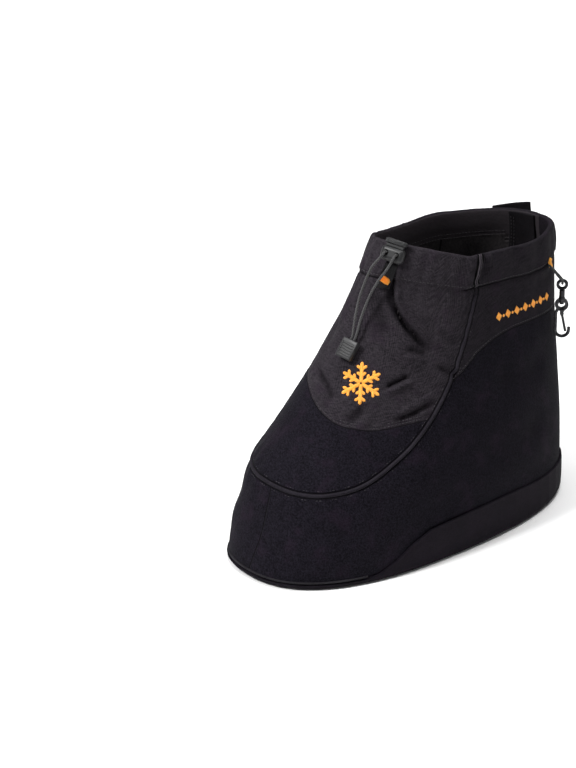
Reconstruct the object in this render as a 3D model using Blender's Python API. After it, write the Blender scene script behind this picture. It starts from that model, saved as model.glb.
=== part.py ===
"""Winter overshoe for the left foot: a padded cloth cover that is pulled over a boot.

The toe points to -Y, the heel to +Y, the outer side to +X, and it stands on Z = 0. The origin is on the
underside of the sole, halfway along it. Lengths are in metres.
"""
import math

import bmesh
import bpy
from mathutils import Matrix, Vector

MM = 0.001
GAP = 0.3 * MM

# The last: the outer form of the whole overshoe
SHOE_LENGTH = 344 * MM
BALL_WIDTH = 169 * MM
COLLAR_FRONT = 270 * MM
COLLAR_SIDE = 255 * MM
COLLAR_BACK = 250 * MM
RIM_POWER = 1.5

# Upper
UPPER_WALL = 3.5 * MM
CASING_HEIGHT = 29 * MM
CASING_STEP = 1.0 * MM
RIM_ROUND = 1.2 * MM

# Sole and insole
SOLE_FLOOR = 4.5 * MM
SOLE_WALL = 1.8 * MM
SOLE_CORNER = 5.0 * MM
RAND_HEIGHT = 38.5 * MM
TOE_SPRING = 2.0 * MM
ARCH_LIFT = 1.5 * MM
GROOVE_DEPTH = 1.2 * MM
GROOVE_WIDTH = 5.0 * MM
GROOVE_PITCH = 14.0 * MM
GROOVE_MARGIN = 16.0 * MM
BINDING_HEIGHT = 3.6 * MM
BINDING_THICKNESS = 1.6 * MM
INSOLE_THICKNESS = 3.0 * MM
INSOLE_PLAY = 1.0 * MM

# Raised seam around the vamp
PIPING_WIDTH = 4.2 * MM
PIPING_RISE = 2.0 * MM

# Closure of the slit at the back of the collar
SLIT_ANGLE = -158.0
SLIT_DEPTH = 68 * MM
SLIT_WIDTH = 2.0 * MM
FLAP_FROM, FLAP_TO = -138.0, -168.0
FLAP_DEPTH = 76 * MM
FLAP_RISE_FRONT, FLAP_RISE_BACK = 0.6 * MM, 7.0 * MM
FLAP_THICKNESS = 2.2 * MM
UNDERLAP_FROM, UNDERLAP_TO = -176.0, -149.0
UNDERLAP_THICKNESS = 2.0 * MM

# Cord lock, its tab and the drawcord tails
LOCK_ANGLE = 17.5
LOCK_HEIGHT = 264 * MM
LOCK_TILT = 8.0
LOCK_WIDTH = 21.5 * MM
LOCK_LENGTH = 13.4 * MM
LOCK_DEPTH = 9.0 * MM
LOCK_ROUND = 4.0 * MM
LOCK_HOLE_SPACING = 10.0 * MM
LOCK_BORE = 4.0 * MM
LOCK_CORD_PLACE = 0.3 * MM
LOCK_FLOOR = 1.4 * MM
BUTTON_TRAVEL = 1.7 * MM
BUTTON_WIDTH = 19.0 * MM
BUTTON_LENGTH = 4.2 * MM
BUTTON_DEPTH = 8.4 * MM
BUTTON_ROUND = 1.8 * MM
STEM_WIDTH = 16.0 * MM
STEM_DEPTH = 3.2 * MM
STEM_TOE = 0.9 * MM
TAB_THICKNESS = 1.4 * MM
TAB_WIDTH = 11.0 * MM
TAB_TOP, TAB_BOTTOM = 257 * MM, 237 * MM
TAB_ANGLE = 17.5
CORD_DIAMETER = 2.2 * MM
END_ANGLE = 11.0
END_HEIGHT = 187.5 * MM
END_TILT = 12.0
END_PROUD = 5.2 * MM
END_WIDTH = 15.5 * MM
END_LENGTH = 17.5 * MM
END_THICKNESS = 6.0 * MM
END_ROUND = 1.6 * MM
END_SPACING = 3.1 * MM

# Clip that hangs at the outer back
CLIP_ANGLE = 136.39
CLIP_PROUD = 13.1 * MM
CLIP_EYE_HEIGHT = 204.5 * MM
CLIP_DROP = 19.0 * MM
CLIP_DIRECTION = Vector((0.64, 0.768, 0.0)).normalized()
EYE_RADIUS = 3.9 * MM
EYE_WIRE = 3.0 * MM
NECK_DIAMETER = 2.4 * MM
BARREL_DIAMETER = 5.0 * MM
RIVET_DIAMETER = 3.8 * MM
RIVET_HEIGHT = 1.4 * MM
RING_RADIUS = 4.5 * MM
HOOK_WIRE = 3.0 * MM
BOSS_DIAMETER = 5.6 * MM
BOSS_HEIGHT = 4.4 * MM
HOOK_SPINE = -4.9 * MM
HOOK_RADIUS = 5.9 * MM
HOOK_DEPTH = 24.7 * MM
HOOK_TIP = 2.7 * MM
GATE_WIRE = 2.4 * MM
GATE_PIVOT_ACROSS = 0.4 * MM
GATE_PIVOT_DROP = 8.6 * MM
GATE_LENGTH = 17.4 * MM
GATE_EYE = 3.6 * MM
GATE_PIN = 1.4 * MM
CHEEK_THICKNESS = 0.9 * MM
LOOP_CORD = 2.0 * MM

# Meshes
AROUND = 54
UPPER_ROWS = 14
CASING_ROWS = 3
DOME_STEPS = 6
LOOP_STEPS = 8
PIPING_STATIONS = 45

# Sections of the last from the floor up. Height is a share of COLLAR_FRONT; toe, heel and widest place
# are shares of half of SHOE_LENGTH; half width is a share of half of BALL_WIDTH; the last two columns
# are the powers of the rounded outline, 2 for an ellipse and more for squarer ends.
LAST_COLUMNS = ("height", "toe", "heel", "half_width", "widest", "toe_power", "heel_power")
LAST_ROWS = (
    (0.000, 1.000, 1.000, 0.988, -0.105, 2.36, 2.45),
    (0.059, 0.988, 1.009, 1.000, -0.134, 2.42, 2.41),
    (0.159, 0.936, 1.006, 1.006, -0.134, 2.46, 2.37),
    (0.289, 0.846, 0.997, 0.994, -0.076, 2.42, 2.32),
    (0.448, 0.677, 0.988, 0.888, 0.058, 2.22, 2.30),
    (0.619, 0.483, 0.985, 0.740, 0.186, 2.12, 2.30),
    (0.819, 0.276, 0.980, 0.609, 0.273, 2.03, 2.34),
    (1.000, 0.116, 0.948, 0.592, 0.308, 2.02, 2.34),
)

# Dips and rises of the collar's edge: angle from the toe, share of CASING_HEIGHT
RIM_COLUMNS = ("angle", "share")
RIM_ROWS = (
    (-180, 0.0), (-136, 0.0), (-116, 0.03), (-101, 0.10), (-86, 0.04), (-66, 0.0), (-30, 0.03),
    (0, 0.09), (24, 0.19), (45, 0.215), (59, 0.20), (69, 0.155), (78, 0.085), (85, 0.095),
    (92, 0.085), (102, 0.03), (116, -0.06), (129, -0.065), (141, 0.02), (151, 0.04), (180, 0.0),
)

# Top edge of the sole around the shoe: angle from the toe, share of RAND_HEIGHT
RAND_COLUMNS = ("angle", "share")
RAND_ROWS = (
    (0, 0.14), (60, 0.14), (66, 0.20), (72, 0.36), (78, 0.62), (84, 0.88), (93, 0.98),
    (111, 1.00), (125, 0.90), (150, 0.84), (180, 0.86),
)

# Raised seam: share of the way from the toe's middle to the casing, angle, share of the casing's height
PIPING_COLUMNS = ("share", "angle", "height")
PIPING_ROWS = (
    (0.00, 0.0, 0.353), (0.14, 17.2, 0.355), (0.26, 34.4, 0.364), (0.40, 51.6, 0.397),
    (0.53, 64.5, 0.474), (0.61, 70.0, 0.530), (0.70, 75.0, 0.612), (0.79, 79.0, 0.712),
    (0.89, 82.6, 0.838), (1.00, 86.0, 0.985),
)

# Routes of the two tails below the lock, in millimetres
CORD_INNER_ROUTE = (
    (14.0, -37.4, 265.6), (8.6, -41.3, 256.5), (5.8, -47.0, 242.1), (5.3, -52.1, 229.5),
    (7.4, -57.6, 217.7), (10.2, -62.3, 207.2),
)
CORD_OUTER_ROUTE = (
    (23.6, -36.3, 259.2), (18.4, -42.2, 247.4), (14.7, -47.2, 235.9), (13.8, -52.8, 224.7),
    (13.9, -57.5, 215.2), (15.0, -62.1, 205.6),
)

# Underside: shares of half of SHOE_LENGTH, negative towards the toe
TREAD_MIDDLE = -0.29
TOE_SPRING_START = -0.72
ARCH_START, ARCH_END = 0.08, 0.48
FOREFOOT_GROOVES = 8
HEEL_GROOVES = 4
TREAD_RINGS = (0.12, 0.28, 0.45, 0.62, 0.80, 1.00)


def clear_scene():
    for old in list(bpy.data.objects):
        bpy.data.objects.remove(old, do_unlink=True)


def new_collection(name):
    collection = bpy.data.collections.new(name)
    bpy.context.scene.collection.children.link(collection)
    return collection


def new_material(name, colour, roughness, metallic=0.0):
    material = bpy.data.materials.new(name)
    material.use_nodes = True
    shader = material.node_tree.nodes["Principled BSDF"]
    shader.inputs["Base Color"].default_value = (*colour, 1.0)
    shader.inputs["Roughness"].default_value = roughness
    shader.inputs["Metallic"].default_value = metallic
    return material


def hermite(place, places, values):
    """Smooth curve through a column of a table, with each slope taken from the two neighbours."""
    if place <= places[0]:
        return values[0]
    if place >= places[-1]:
        return values[-1]
    k = max(i for i in range(len(places) - 1) if places[i] <= place)

    def slope(i):
        low, high = max(i - 1, 0), min(i + 1, len(places) - 1)
        return (values[high] - values[low]) / (places[high] - places[low])

    span = places[k + 1] - places[k]
    u = (place - places[k]) / span
    start = (1 + 2 * u) * (1 - u) ** 2 * values[k] + u * (1 - u) ** 2 * span * slope(k)
    end = u * u * (3 - 2 * u) * values[k + 1] + u * u * (u - 1) * span * slope(k + 1)
    return start + end


def column(rows, columns, name):
    return [row[columns.index(name)] for row in rows]


RIM = {name: column(RIM_ROWS, RIM_COLUMNS, name) for name in RIM_COLUMNS}
LAST = {name: column(LAST_ROWS, LAST_COLUMNS, name) for name in LAST_COLUMNS}
RAND = {name: column(RAND_ROWS, RAND_COLUMNS, name) for name in RAND_COLUMNS}
PIPING = {name: column(PIPING_ROWS, PIPING_COLUMNS, name) for name in PIPING_COLUMNS}


def last_value(name, height):
    return hermite(height / COLLAR_FRONT, LAST["height"], LAST[name])


def skin(angle, height):
    """Point on the outer form; angle in radians, 0 at the toe and a quarter turn at the outer side."""
    half_length = 0.5 * SHOE_LENGTH
    across, along = math.sin(angle), math.cos(angle)
    widest = last_value("widest", height) * half_length
    if along >= 0:
        power = last_value("toe_power", height)
        reach = -(last_value("toe", height) * half_length + widest)
    else:
        power = last_value("heel_power", height)
        reach = last_value("heel", height) * half_length - widest
    half_width = 0.5 * BALL_WIDTH * last_value("half_width", height)
    x = math.copysign(half_width * abs(across) ** (2 / power), across)
    return Vector((x, widest + reach * abs(along) ** (2 / power), height))


def skin_directions(angle, height):
    """Unit directions around, up and out of the skin at a place."""
    turn, rise = 0.01, 1.0 * MM
    around = skin(angle + turn, height) - skin(angle - turn, height)
    upward = skin(angle, height + rise) - skin(angle, height - rise)
    outward = around.cross(upward).normalized()
    around = around.normalized()
    return around, outward.cross(around), outward


def off_skin(angle, height, out):
    return skin(angle, height) + out * skin_directions(angle, height)[2]


def rim_height(angle):
    along = math.cos(angle)
    end = COLLAR_FRONT if along > 0 else COLLAR_BACK
    degrees = math.degrees(math.remainder(angle, 2 * math.pi))
    wave = CASING_HEIGHT * hermite(degrees, RIM["angle"], RIM["share"])
    return COLLAR_SIDE + (end - COLLAR_SIDE) * abs(along) ** RIM_POWER + wave


def rand_height(angle):
    degrees = abs(math.degrees(math.remainder(angle, 2 * math.pi)))
    return RAND_HEIGHT * hermite(degrees, RAND["angle"], RAND["share"])


def half_outline(y, height=0.0):
    """Half width of the outline at a height, at a place along the shoe."""
    half_length = 0.5 * SHOE_LENGTH
    widest = last_value("widest", height) * half_length
    if y < widest:
        reach, power = last_value("toe", height) * half_length + widest, last_value("toe_power", height)
    else:
        reach, power = last_value("heel", height) * half_length - widest, last_value("heel_power", height)
    share = min(abs(y - widest) / reach, 1.0)
    return 0.5 * BALL_WIDTH * last_value("half_width", height) * (1 - share ** power) ** (1 / power)


def sole_lift(y):
    """How far the underside is off the floor: toe spring in front, arch in the waist."""
    place = y / (0.5 * SHOE_LENGTH)
    if place < TOE_SPRING_START:
        return TOE_SPRING * ((TOE_SPRING_START - place) / (1 + TOE_SPRING_START)) ** 2
    if ARCH_START < place < ARCH_END:
        return ARCH_LIFT * math.sin(math.pi * (place - ARCH_START) / (ARCH_END - ARCH_START)) ** 2
    return 0.0


def add_object(name, mesh, material, collection):
    obj = bpy.data.objects.new(name, mesh)
    collection.objects.link(obj)
    mesh.materials.append(material)
    mesh.shade_smooth()
    mesh.set_sharp_from_angle(angle=math.radians(40))
    return obj


def mesh_from(bm, name):
    bmesh.ops.recalc_face_normals(bm, faces=bm.faces)
    mesh = bpy.data.meshes.new(name)
    bm.to_mesh(mesh)
    bm.free()
    return mesh


def loft(name, rings, closed_rings=True, wrap=False):
    """Skin over rings of points; the ends are capped unless the last ring joins the first."""
    bm = bmesh.new()
    rows = [[bm.verts.new(point) for point in ring] for ring in rings]
    count = len(rings[0])
    pairs = list(zip(rows, rows[1:]))
    if wrap:
        pairs.append((rows[-1], rows[0]))
    steps = count if closed_rings else count - 1
    for low, high in pairs:
        for j in range(steps):
            k = (j + 1) % count
            bm.faces.new((low[j], low[k], high[k], high[j]))
    if not wrap:
        bm.faces.new(rows[0])
        bm.faces.new(rows[-1])
    return mesh_from(bm, name)


def axes_matrix(origin, across, along, out):
    turned = Matrix((across, along, out)).transposed().to_4x4()
    return Matrix.Translation(origin) @ turned


def box_mesh(name, size, matrix, rounding=0.0, segments=3):
    bm = bmesh.new()
    bmesh.ops.create_cube(bm, size=1.0)
    bmesh.ops.scale(bm, vec=size, verts=bm.verts)
    if rounding:
        bmesh.ops.bevel(bm, geom=bm.edges[:], offset=rounding, segments=segments, profile=0.5,
                        affect="EDGES")
    bmesh.ops.transform(bm, matrix=matrix, verts=bm.verts)
    return mesh_from(bm, name)


def rod_mesh(name, diameter, length, matrix, segments=20):
    """Cylinder along the matrix's third axis."""
    bm = bmesh.new()
    bmesh.ops.create_cone(bm, cap_ends=True, segments=segments, radius1=diameter / 2,
                          radius2=diameter / 2, depth=length)
    bmesh.ops.transform(bm, matrix=matrix, verts=bm.verts)
    return mesh_from(bm, name)


def tube_mesh(name, points, diameter, resolution=2, closed=False):
    """Round bar along a row of points, as a mesh with welded caps."""
    curve = bpy.data.curves.new(name, "CURVE")
    curve.dimensions = "3D"
    curve.bevel_depth = diameter / 2
    curve.bevel_resolution = resolution
    curve.use_fill_caps = True
    spline = curve.splines.new("POLY")
    spline.points.add(len(points) - 1)
    for place, point in zip(spline.points, points):
        place.co = (*point, 1.0)
    spline.use_cyclic_u = closed
    guide = bpy.data.objects.new(name, curve)
    bpy.context.scene.collection.objects.link(guide)
    bpy.context.view_layer.update()
    evaluated = guide.evaluated_get(bpy.context.evaluated_depsgraph_get())
    mesh = bpy.data.meshes.new_from_object(evaluated)
    bpy.data.objects.remove(guide, do_unlink=True)
    bm = bmesh.new()
    bm.from_mesh(mesh)
    bmesh.ops.remove_doubles(bm, verts=bm.verts, dist=0.01 * MM)
    return mesh_from(bm, name)


def combine(obj, mesh, operation, cutters):
    """Cut a mesh out of an object, or join it on, with a live Boolean modifier."""
    tool = bpy.data.objects.new(f"{obj.name}_{operation.lower()}_{len(obj.modifiers)}", mesh)
    cutters.objects.link(tool)
    tool.hide_render = True
    tool.display_type = "WIRE"
    modifier = obj.modifiers.new(operation.title(), "BOOLEAN")
    modifier.operation = operation
    modifier.object = tool
    modifier.solver = "EXACT"


def smooth_route(points, spacing):
    """Points at about the given spacing on one smooth curve through the route's own points."""
    places = [Vector(point) for point in points]
    reach = [0.0]
    for before, after in zip(places, places[1:]):
        reach.append(reach[-1] + (after - before).length)
    count = max(2, round(reach[-1] / spacing))
    route = []
    for i in range(count + 1):
        at = reach[-1] * i / count
        route.append(Vector([hermite(at, reach, [p[axis] for p in places]) for axis in range(3)]))
    return route


ANGLES = [2 * math.pi * i / AROUND for i in range(AROUND)]


def ring(height_at, out):
    return [off_skin(angle, height_at(angle), out) for angle in ANGLES]


def make_upper(material, parts, cutters):
    """Hollow cloth shell: outer skin up, over the rim, and the lining side down again."""
    foot = SOLE_FLOOR + GAP

    def shaft(share):
        return lambda angle: foot + share * (rim_height(angle) - CASING_HEIGHT - foot)

    def casing(share):
        return lambda angle: rim_height(angle) - (1 - share) * CASING_HEIGHT

    def below_rim(drop):
        return lambda angle: rim_height(angle) - drop

    rows = [i / UPPER_ROWS for i in range(UPPER_ROWS + 1)]
    turns = [(i + 1) / (CASING_ROWS + 1) for i in range(CASING_ROWS)]
    edge = CASING_STEP / CASING_HEIGHT
    rings = [ring(shaft(share), 0.0) for share in rows]
    rings += [ring(casing(share), CASING_STEP) for share in [edge, *turns]]
    rings += [ring(below_rim(RIM_ROUND), CASING_STEP)]
    rings += [ring(below_rim(0.0), CASING_STEP - RIM_ROUND), ring(below_rim(0.0), RIM_ROUND - UPPER_WALL)]
    rings += [ring(below_rim(RIM_ROUND), -UPPER_WALL)]
    rings += [ring(casing(share), -UPPER_WALL) for share in reversed(turns)]
    rings += [ring(shaft(share), -UPPER_WALL) for share in reversed(rows)]
    upper = add_object("upper", loft("upper", rings, wrap=True), material, parts)

    angle = math.radians(SLIT_ANGLE)
    top = rim_height(angle) + FLAP_RISE_BACK
    bottom = rim_height(angle) - SLIT_DEPTH
    around, upward, outward = skin_directions(angle, rim_height(angle) - SLIT_DEPTH / 2)
    middle = skin(angle, (top + bottom) / 2) - outward * UPPER_WALL / 2
    size = (SLIT_WIDTH, top - bottom, 4 * UPPER_WALL)
    slit = box_mesh("slit", size, axes_matrix(middle, around, upward, outward))
    combine(upper, slit, "DIFFERENCE", cutters)
    return upper


def make_outsole(material, parts, cutters):
    """Cupped sole: flat tread with grooves, toe spring and arch, and a rand that rises at the heel."""
    out = GAP + SOLE_WALL

    def scaled(points, share):
        middle = TREAD_MIDDLE * SHOE_LENGTH / 2
        return [Vector((share * p.x, middle + share * (p.y - middle), p.z)) for p in points]

    def lifted(points, share):
        return [Vector((p.x, p.y, p.z + share * sole_lift(p.y))) for p in points]

    tread = [Vector((p.x, p.y, 0.0)) for p in ring(lambda angle: 0.0, out - SOLE_CORNER)]
    rings = [lifted(scaled(tread, share), 1.0) for share in TREAD_RINGS]
    rings.append(lifted(ring(lambda angle: 0.25 * SOLE_CORNER, out - 0.3 * SOLE_CORNER), 0.7))
    lips = [rand_height(angle) for angle in ANGLES]

    def wall(share, out_here, drop=0.0):
        low = 0.9 * SOLE_CORNER
        return [off_skin(angle, low + share * (lip - low) - drop, out_here)
                for angle, lip in zip(ANGLES, lips)]

    shares = (0.0, 0.33, 0.66)
    rings += [wall(share, out) for share in shares]
    rings += [wall(1.0, out, 0.5 * SOLE_WALL), wall(1.0, GAP + 0.5 * SOLE_WALL)]
    rings += [wall(1.0, GAP, 0.3 * SOLE_WALL)]
    for share in (0.66, 0.33):
        rings.append([off_skin(angle, max(point.z, SOLE_FLOOR), GAP)
                      for angle, point in zip(ANGLES, wall(share, GAP))])
    floor = [Vector((p.x, p.y, SOLE_FLOOR)) for p in ring(lambda angle: SOLE_FLOOR, GAP)]
    rings += [floor] + [scaled(floor, share) for share in (0.6, 0.15)]
    outsole = add_object("outsole", loft("outsole", rings), material, parts)

    grooves = bmesh.new()
    places = [-(0.65 + i) * GROOVE_PITCH for i in range(FOREFOOT_GROOVES)]
    heel_start = 0.5 * SHOE_LENGTH * ARCH_END + 0.65 * GROOVE_PITCH
    places += [heel_start + i * GROOVE_PITCH for i in range(HEEL_GROOVES)]
    for place in places:
        width = 2 * (half_outline(place) - GROOVE_MARGIN)
        scale = Matrix.Diagonal((width, GROOVE_WIDTH, 2 * GROOVE_DEPTH, 1.0))
        matrix = Matrix.Translation((0.0, place, 0.0)) @ scale
        bmesh.ops.create_cube(grooves, size=1.0, matrix=matrix)
    combine(outsole, mesh_from(grooves, "grooves"), "DIFFERENCE", cutters)
    return outsole


def shell_patch(name, angles, low_at, high_at, inner, outer, rows=6):
    """Piece of cloth of even thickness that follows the skin between two angles and two heights."""
    rings = []
    for angle in angles:
        low, high = low_at(angle), high_at(angle)
        heights = [low + (high - low) * i / rows for i in range(rows + 1)]
        face = [off_skin(angle, height, outer) for height in heights]
        back = [off_skin(angle, height, inner) for height in reversed(heights)]
        rings.append(face + back)
    return loft(name, rings)


def spread(start, end, count):
    return [math.radians(start + (end - start) * i / (count - 1)) for i in range(count)]


def make_binding(material, parts):
    start = RAND["angle"][1] + 2
    mesh = shell_patch("sole_binding", spread(-start, start, 25),
                       lambda angle: rand_height(angle) + 3 * GAP,
                       lambda angle: rand_height(angle) + 3 * GAP + BINDING_HEIGHT,
                       GAP, GAP + BINDING_THICKNESS, rows=2)
    return add_object("sole_binding", mesh, material, parts)


def make_insole(material, parts):
    low = SOLE_FLOOR + GAP
    edge = -(UPPER_WALL + INSOLE_PLAY)
    step = 0.3 * INSOLE_THICKNESS

    def outline(height, out):
        return [Vector((p.x, p.y, height)) for p in ring(lambda angle: low, out)]

    rings = [outline(low, edge - step), outline(low + step, edge),
             outline(low + INSOLE_THICKNESS - step, edge), outline(low + INSOLE_THICKNESS, edge - step)]
    return add_object("insole", loft("insole", rings), material, parts)


def make_piping(material, parts):
    """Half-round bead on the skin along the horseshoe seam."""
    seam_top = COLLAR_SIDE - CASING_HEIGHT
    rings = []
    places = []
    for i in range(PIPING_STATIONS):
        share = 2 * i / (PIPING_STATIONS - 1) - 1
        side = math.copysign(1.0, share)
        angle = math.radians(hermite(abs(share), PIPING["share"], PIPING["angle"])) * side
        height = seam_top * hermite(abs(share), PIPING["share"], PIPING["height"])
        places.append((angle, height))
    points = [skin(*place) for place in places]
    for i, (angle, height) in enumerate(places):
        ahead = points[min(i + 1, PIPING_STATIONS - 1)] - points[max(i - 1, 0)]
        outward = skin_directions(angle, height)[2]
        across = outward.cross(ahead).normalized()
        section = []
        for k in range(DOME_STEPS + 1):
            turn = math.pi * k / DOME_STEPS
            side_step = -0.5 * PIPING_WIDTH * math.cos(turn)
            rise = GAP + PIPING_RISE * math.sin(turn)
            section.append(points[i] + across * side_step + outward * rise)
        section.append(points[i] + outward * GAP)
        rings.append(section)
    return add_object("vamp_piping", loft("vamp_piping", rings), material, parts)


def make_back_closure(material, parts):
    inner = CASING_STEP + GAP

    def flap_top(angle):
        share = (math.degrees(angle) - FLAP_FROM) / (FLAP_TO - FLAP_FROM)
        return rim_height(angle) + FLAP_RISE_FRONT + share * (FLAP_RISE_BACK - FLAP_RISE_FRONT)

    flap = shell_patch("back_flap", spread(FLAP_FROM, FLAP_TO, 8),
                       lambda angle: rim_height(angle) - FLAP_DEPTH, flap_top,
                       inner, inner + FLAP_THICKNESS, rows=8)
    add_object("back_flap", flap, material, parts)
    face = -(UPPER_WALL + GAP)
    underlap = shell_patch("back_underlap", spread(UNDERLAP_FROM, UNDERLAP_TO, 8),
                           lambda angle: rim_height(angle) - FLAP_DEPTH,
                           lambda angle: rim_height(angle) - RIM_ROUND,
                           face - UNDERLAP_THICKNESS, face, rows=8)
    add_object("back_underlap", underlap, material, parts)


def lock_axes():
    """Centre of the cord lock with its directions: across the holes, towards the button, outwards."""
    angle = math.radians(LOCK_ANGLE)
    around, upward, outward = skin_directions(angle, LOCK_HEIGHT)
    turn = Matrix.Rotation(-math.radians(LOCK_TILT), 3, outward)
    proud = CASING_STEP + GAP + TAB_THICKNESS + GAP + LOCK_DEPTH / 2
    return skin(angle, LOCK_HEIGHT) + outward * proud, turn @ around, turn @ upward, outward


def in_axes(axes, across, along, out):
    centre, first, second, third = axes
    return centre + first * across + second * along + third * out


def make_lock(body_material, button_material, parts, cutters):
    axes = lock_axes()
    centre, across, along, out = axes
    body_mesh = box_mesh("lock_body", (LOCK_WIDTH, LOCK_LENGTH, LOCK_DEPTH), axes_matrix(*axes), LOCK_ROUND)
    body = add_object("lock_body", body_mesh, body_material, parts)
    pocket_floor = LOCK_FLOOR - LOCK_LENGTH / 2
    pocket_size = (STEM_WIDTH + 2 * GAP, LOCK_LENGTH, STEM_DEPTH + 2 * GAP)
    pocket_centre = in_axes(axes, 0.0, pocket_floor + LOCK_LENGTH / 2, 0.0)
    combine(body, box_mesh("pocket", pocket_size, axes_matrix(pocket_centre, across, along, out)),
            "DIFFERENCE", cutters)
    holes = [side * LOCK_HOLE_SPACING / 2 for side in (-1, 1)]
    for place in holes:
        centre_here = in_axes(axes, place, LOCK_CORD_PLACE, 0.0)
        hole_matrix = axes_matrix(centre_here, across, along, out)
        hole = rod_mesh("cord_hole", LOCK_BORE, 2 * LOCK_DEPTH, hole_matrix)
        combine(body, hole, "DIFFERENCE", cutters)

    stem_low = LOCK_CORD_PLACE - CORD_DIAMETER / 2 - GAP - STEM_TOE
    cap_low = LOCK_LENGTH / 2 + BUTTON_TRAVEL + GAP
    stem_high = cap_low + BUTTON_LENGTH / 2
    cap_matrix = axes_matrix(in_axes(axes, 0.0, cap_low + BUTTON_LENGTH / 2, 0.0), across, along, out)
    cap_size = (BUTTON_WIDTH, BUTTON_LENGTH, BUTTON_DEPTH)
    cap = box_mesh("lock_button", cap_size, cap_matrix, BUTTON_ROUND)
    pivot = Matrix.Translation(centre)
    cap.transform(pivot.inverted())
    button = add_object("lock_button", cap, button_material, parts)
    button.location = centre
    stem_matrix = axes_matrix(in_axes(axes, 0.0, (stem_low + stem_high) / 2, 0.0), across, along, out)
    stem = box_mesh("stem", (STEM_WIDTH, stem_high - stem_low, STEM_DEPTH), stem_matrix)
    combine(button, stem, "UNION", cutters)
    for place in holes:
        low = in_axes(axes, place, LOCK_CORD_PLACE, 0.0)
        for step in (0.0, BUTTON_TRAVEL):
            slot = rod_mesh("slot", CORD_DIAMETER + 2 * GAP, 2 * STEM_DEPTH,
                            axes_matrix(low + along * step, across, along, out))
            combine(button, slot, "DIFFERENCE", cutters)
        middle = low + along * BUTTON_TRAVEL / 2
        window = box_mesh("window", (CORD_DIAMETER + 2 * GAP, BUTTON_TRAVEL, 2 * STEM_DEPTH),
                          axes_matrix(middle, across, along, out))
        combine(button, window, "DIFFERENCE", cutters)
    return body, button


def make_tab(material, parts):
    degree = (skin(math.radians(TAB_ANGLE + 1), TAB_TOP) - skin(math.radians(TAB_ANGLE), TAB_TOP)).length
    reach = 0.5 * TAB_WIDTH / degree
    inner = CASING_STEP + GAP
    tab = shell_patch("lock_tab", spread(TAB_ANGLE - reach, TAB_ANGLE + reach, 4),
                      lambda angle: TAB_BOTTOM, lambda angle: TAB_TOP,
                      inner, inner + TAB_THICKNESS, rows=4)
    return add_object("lock_tab", tab, material, parts)


def end_axes():
    angle = math.radians(END_ANGLE)
    around, upward, outward = skin_directions(angle, END_HEIGHT)
    turn = Matrix.Rotation(-math.radians(END_TILT), 3, outward)
    return skin(angle, END_HEIGHT) + outward * END_PROUD, turn @ around, turn @ upward, outward


def make_cords(cord_material, end_material, parts):
    lock = lock_axes()
    end = end_axes()
    end_mesh = box_mesh("cord_end", (END_WIDTH, END_LENGTH, END_THICKNESS), axes_matrix(*end), END_ROUND, 2)
    add_object("cord_end", end_mesh, end_material, parts)
    start = -(LOCK_DEPTH / 2 + TAB_THICKNESS + GAP)
    seat = END_LENGTH / 2 + 2 * GAP
    tails = (("cord_inner", -1, CORD_INNER_ROUTE), ("cord_outer", 1, CORD_OUTER_ROUTE))
    for name, side, route in tails:
        place = side * LOCK_HOLE_SPACING / 2
        points = [in_axes(lock, place, LOCK_CORD_PLACE, out)
                  for out in (start, 0.0, LOCK_DEPTH / 2, LOCK_DEPTH / 2 + CORD_DIAMETER)]
        points += [Vector(point) * MM for point in route]
        points += [in_axes(end, side * END_SPACING / 2, above, 0.0)
                   for above in (seat + CORD_DIAMETER, seat)]
        cord = tube_mesh(name, smooth_route(points, 3 * CORD_DIAMETER), CORD_DIAMETER)
        add_object(name, cord, cord_material, parts)


def clip_point(across, height, beside=0.0):
    """Point of the clip: along its flat plane, above its ring's centre, and out of that plane."""
    eye = off_skin(math.radians(CLIP_ANGLE), CLIP_EYE_HEIGHT, CLIP_PROUD)
    ring = Vector((eye.x, eye.y, CLIP_EYE_HEIGHT - CLIP_DROP))
    side = Vector((0.0, 0.0, 1.0)).cross(CLIP_DIRECTION)
    return ring + Vector((0.0, 0.0, height)) + CLIP_DIRECTION * across + side * beside


def circle_points(centre_across, centre_height, radius, start, end, count, closed=False):
    steps = count if closed else count - 1
    turns = [math.radians(start + (end - start) * i / steps) for i in range(count)]
    return [clip_point(centre_across + radius * math.cos(turn), centre_height + radius * math.sin(turn))
            for turn in turns]


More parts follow.
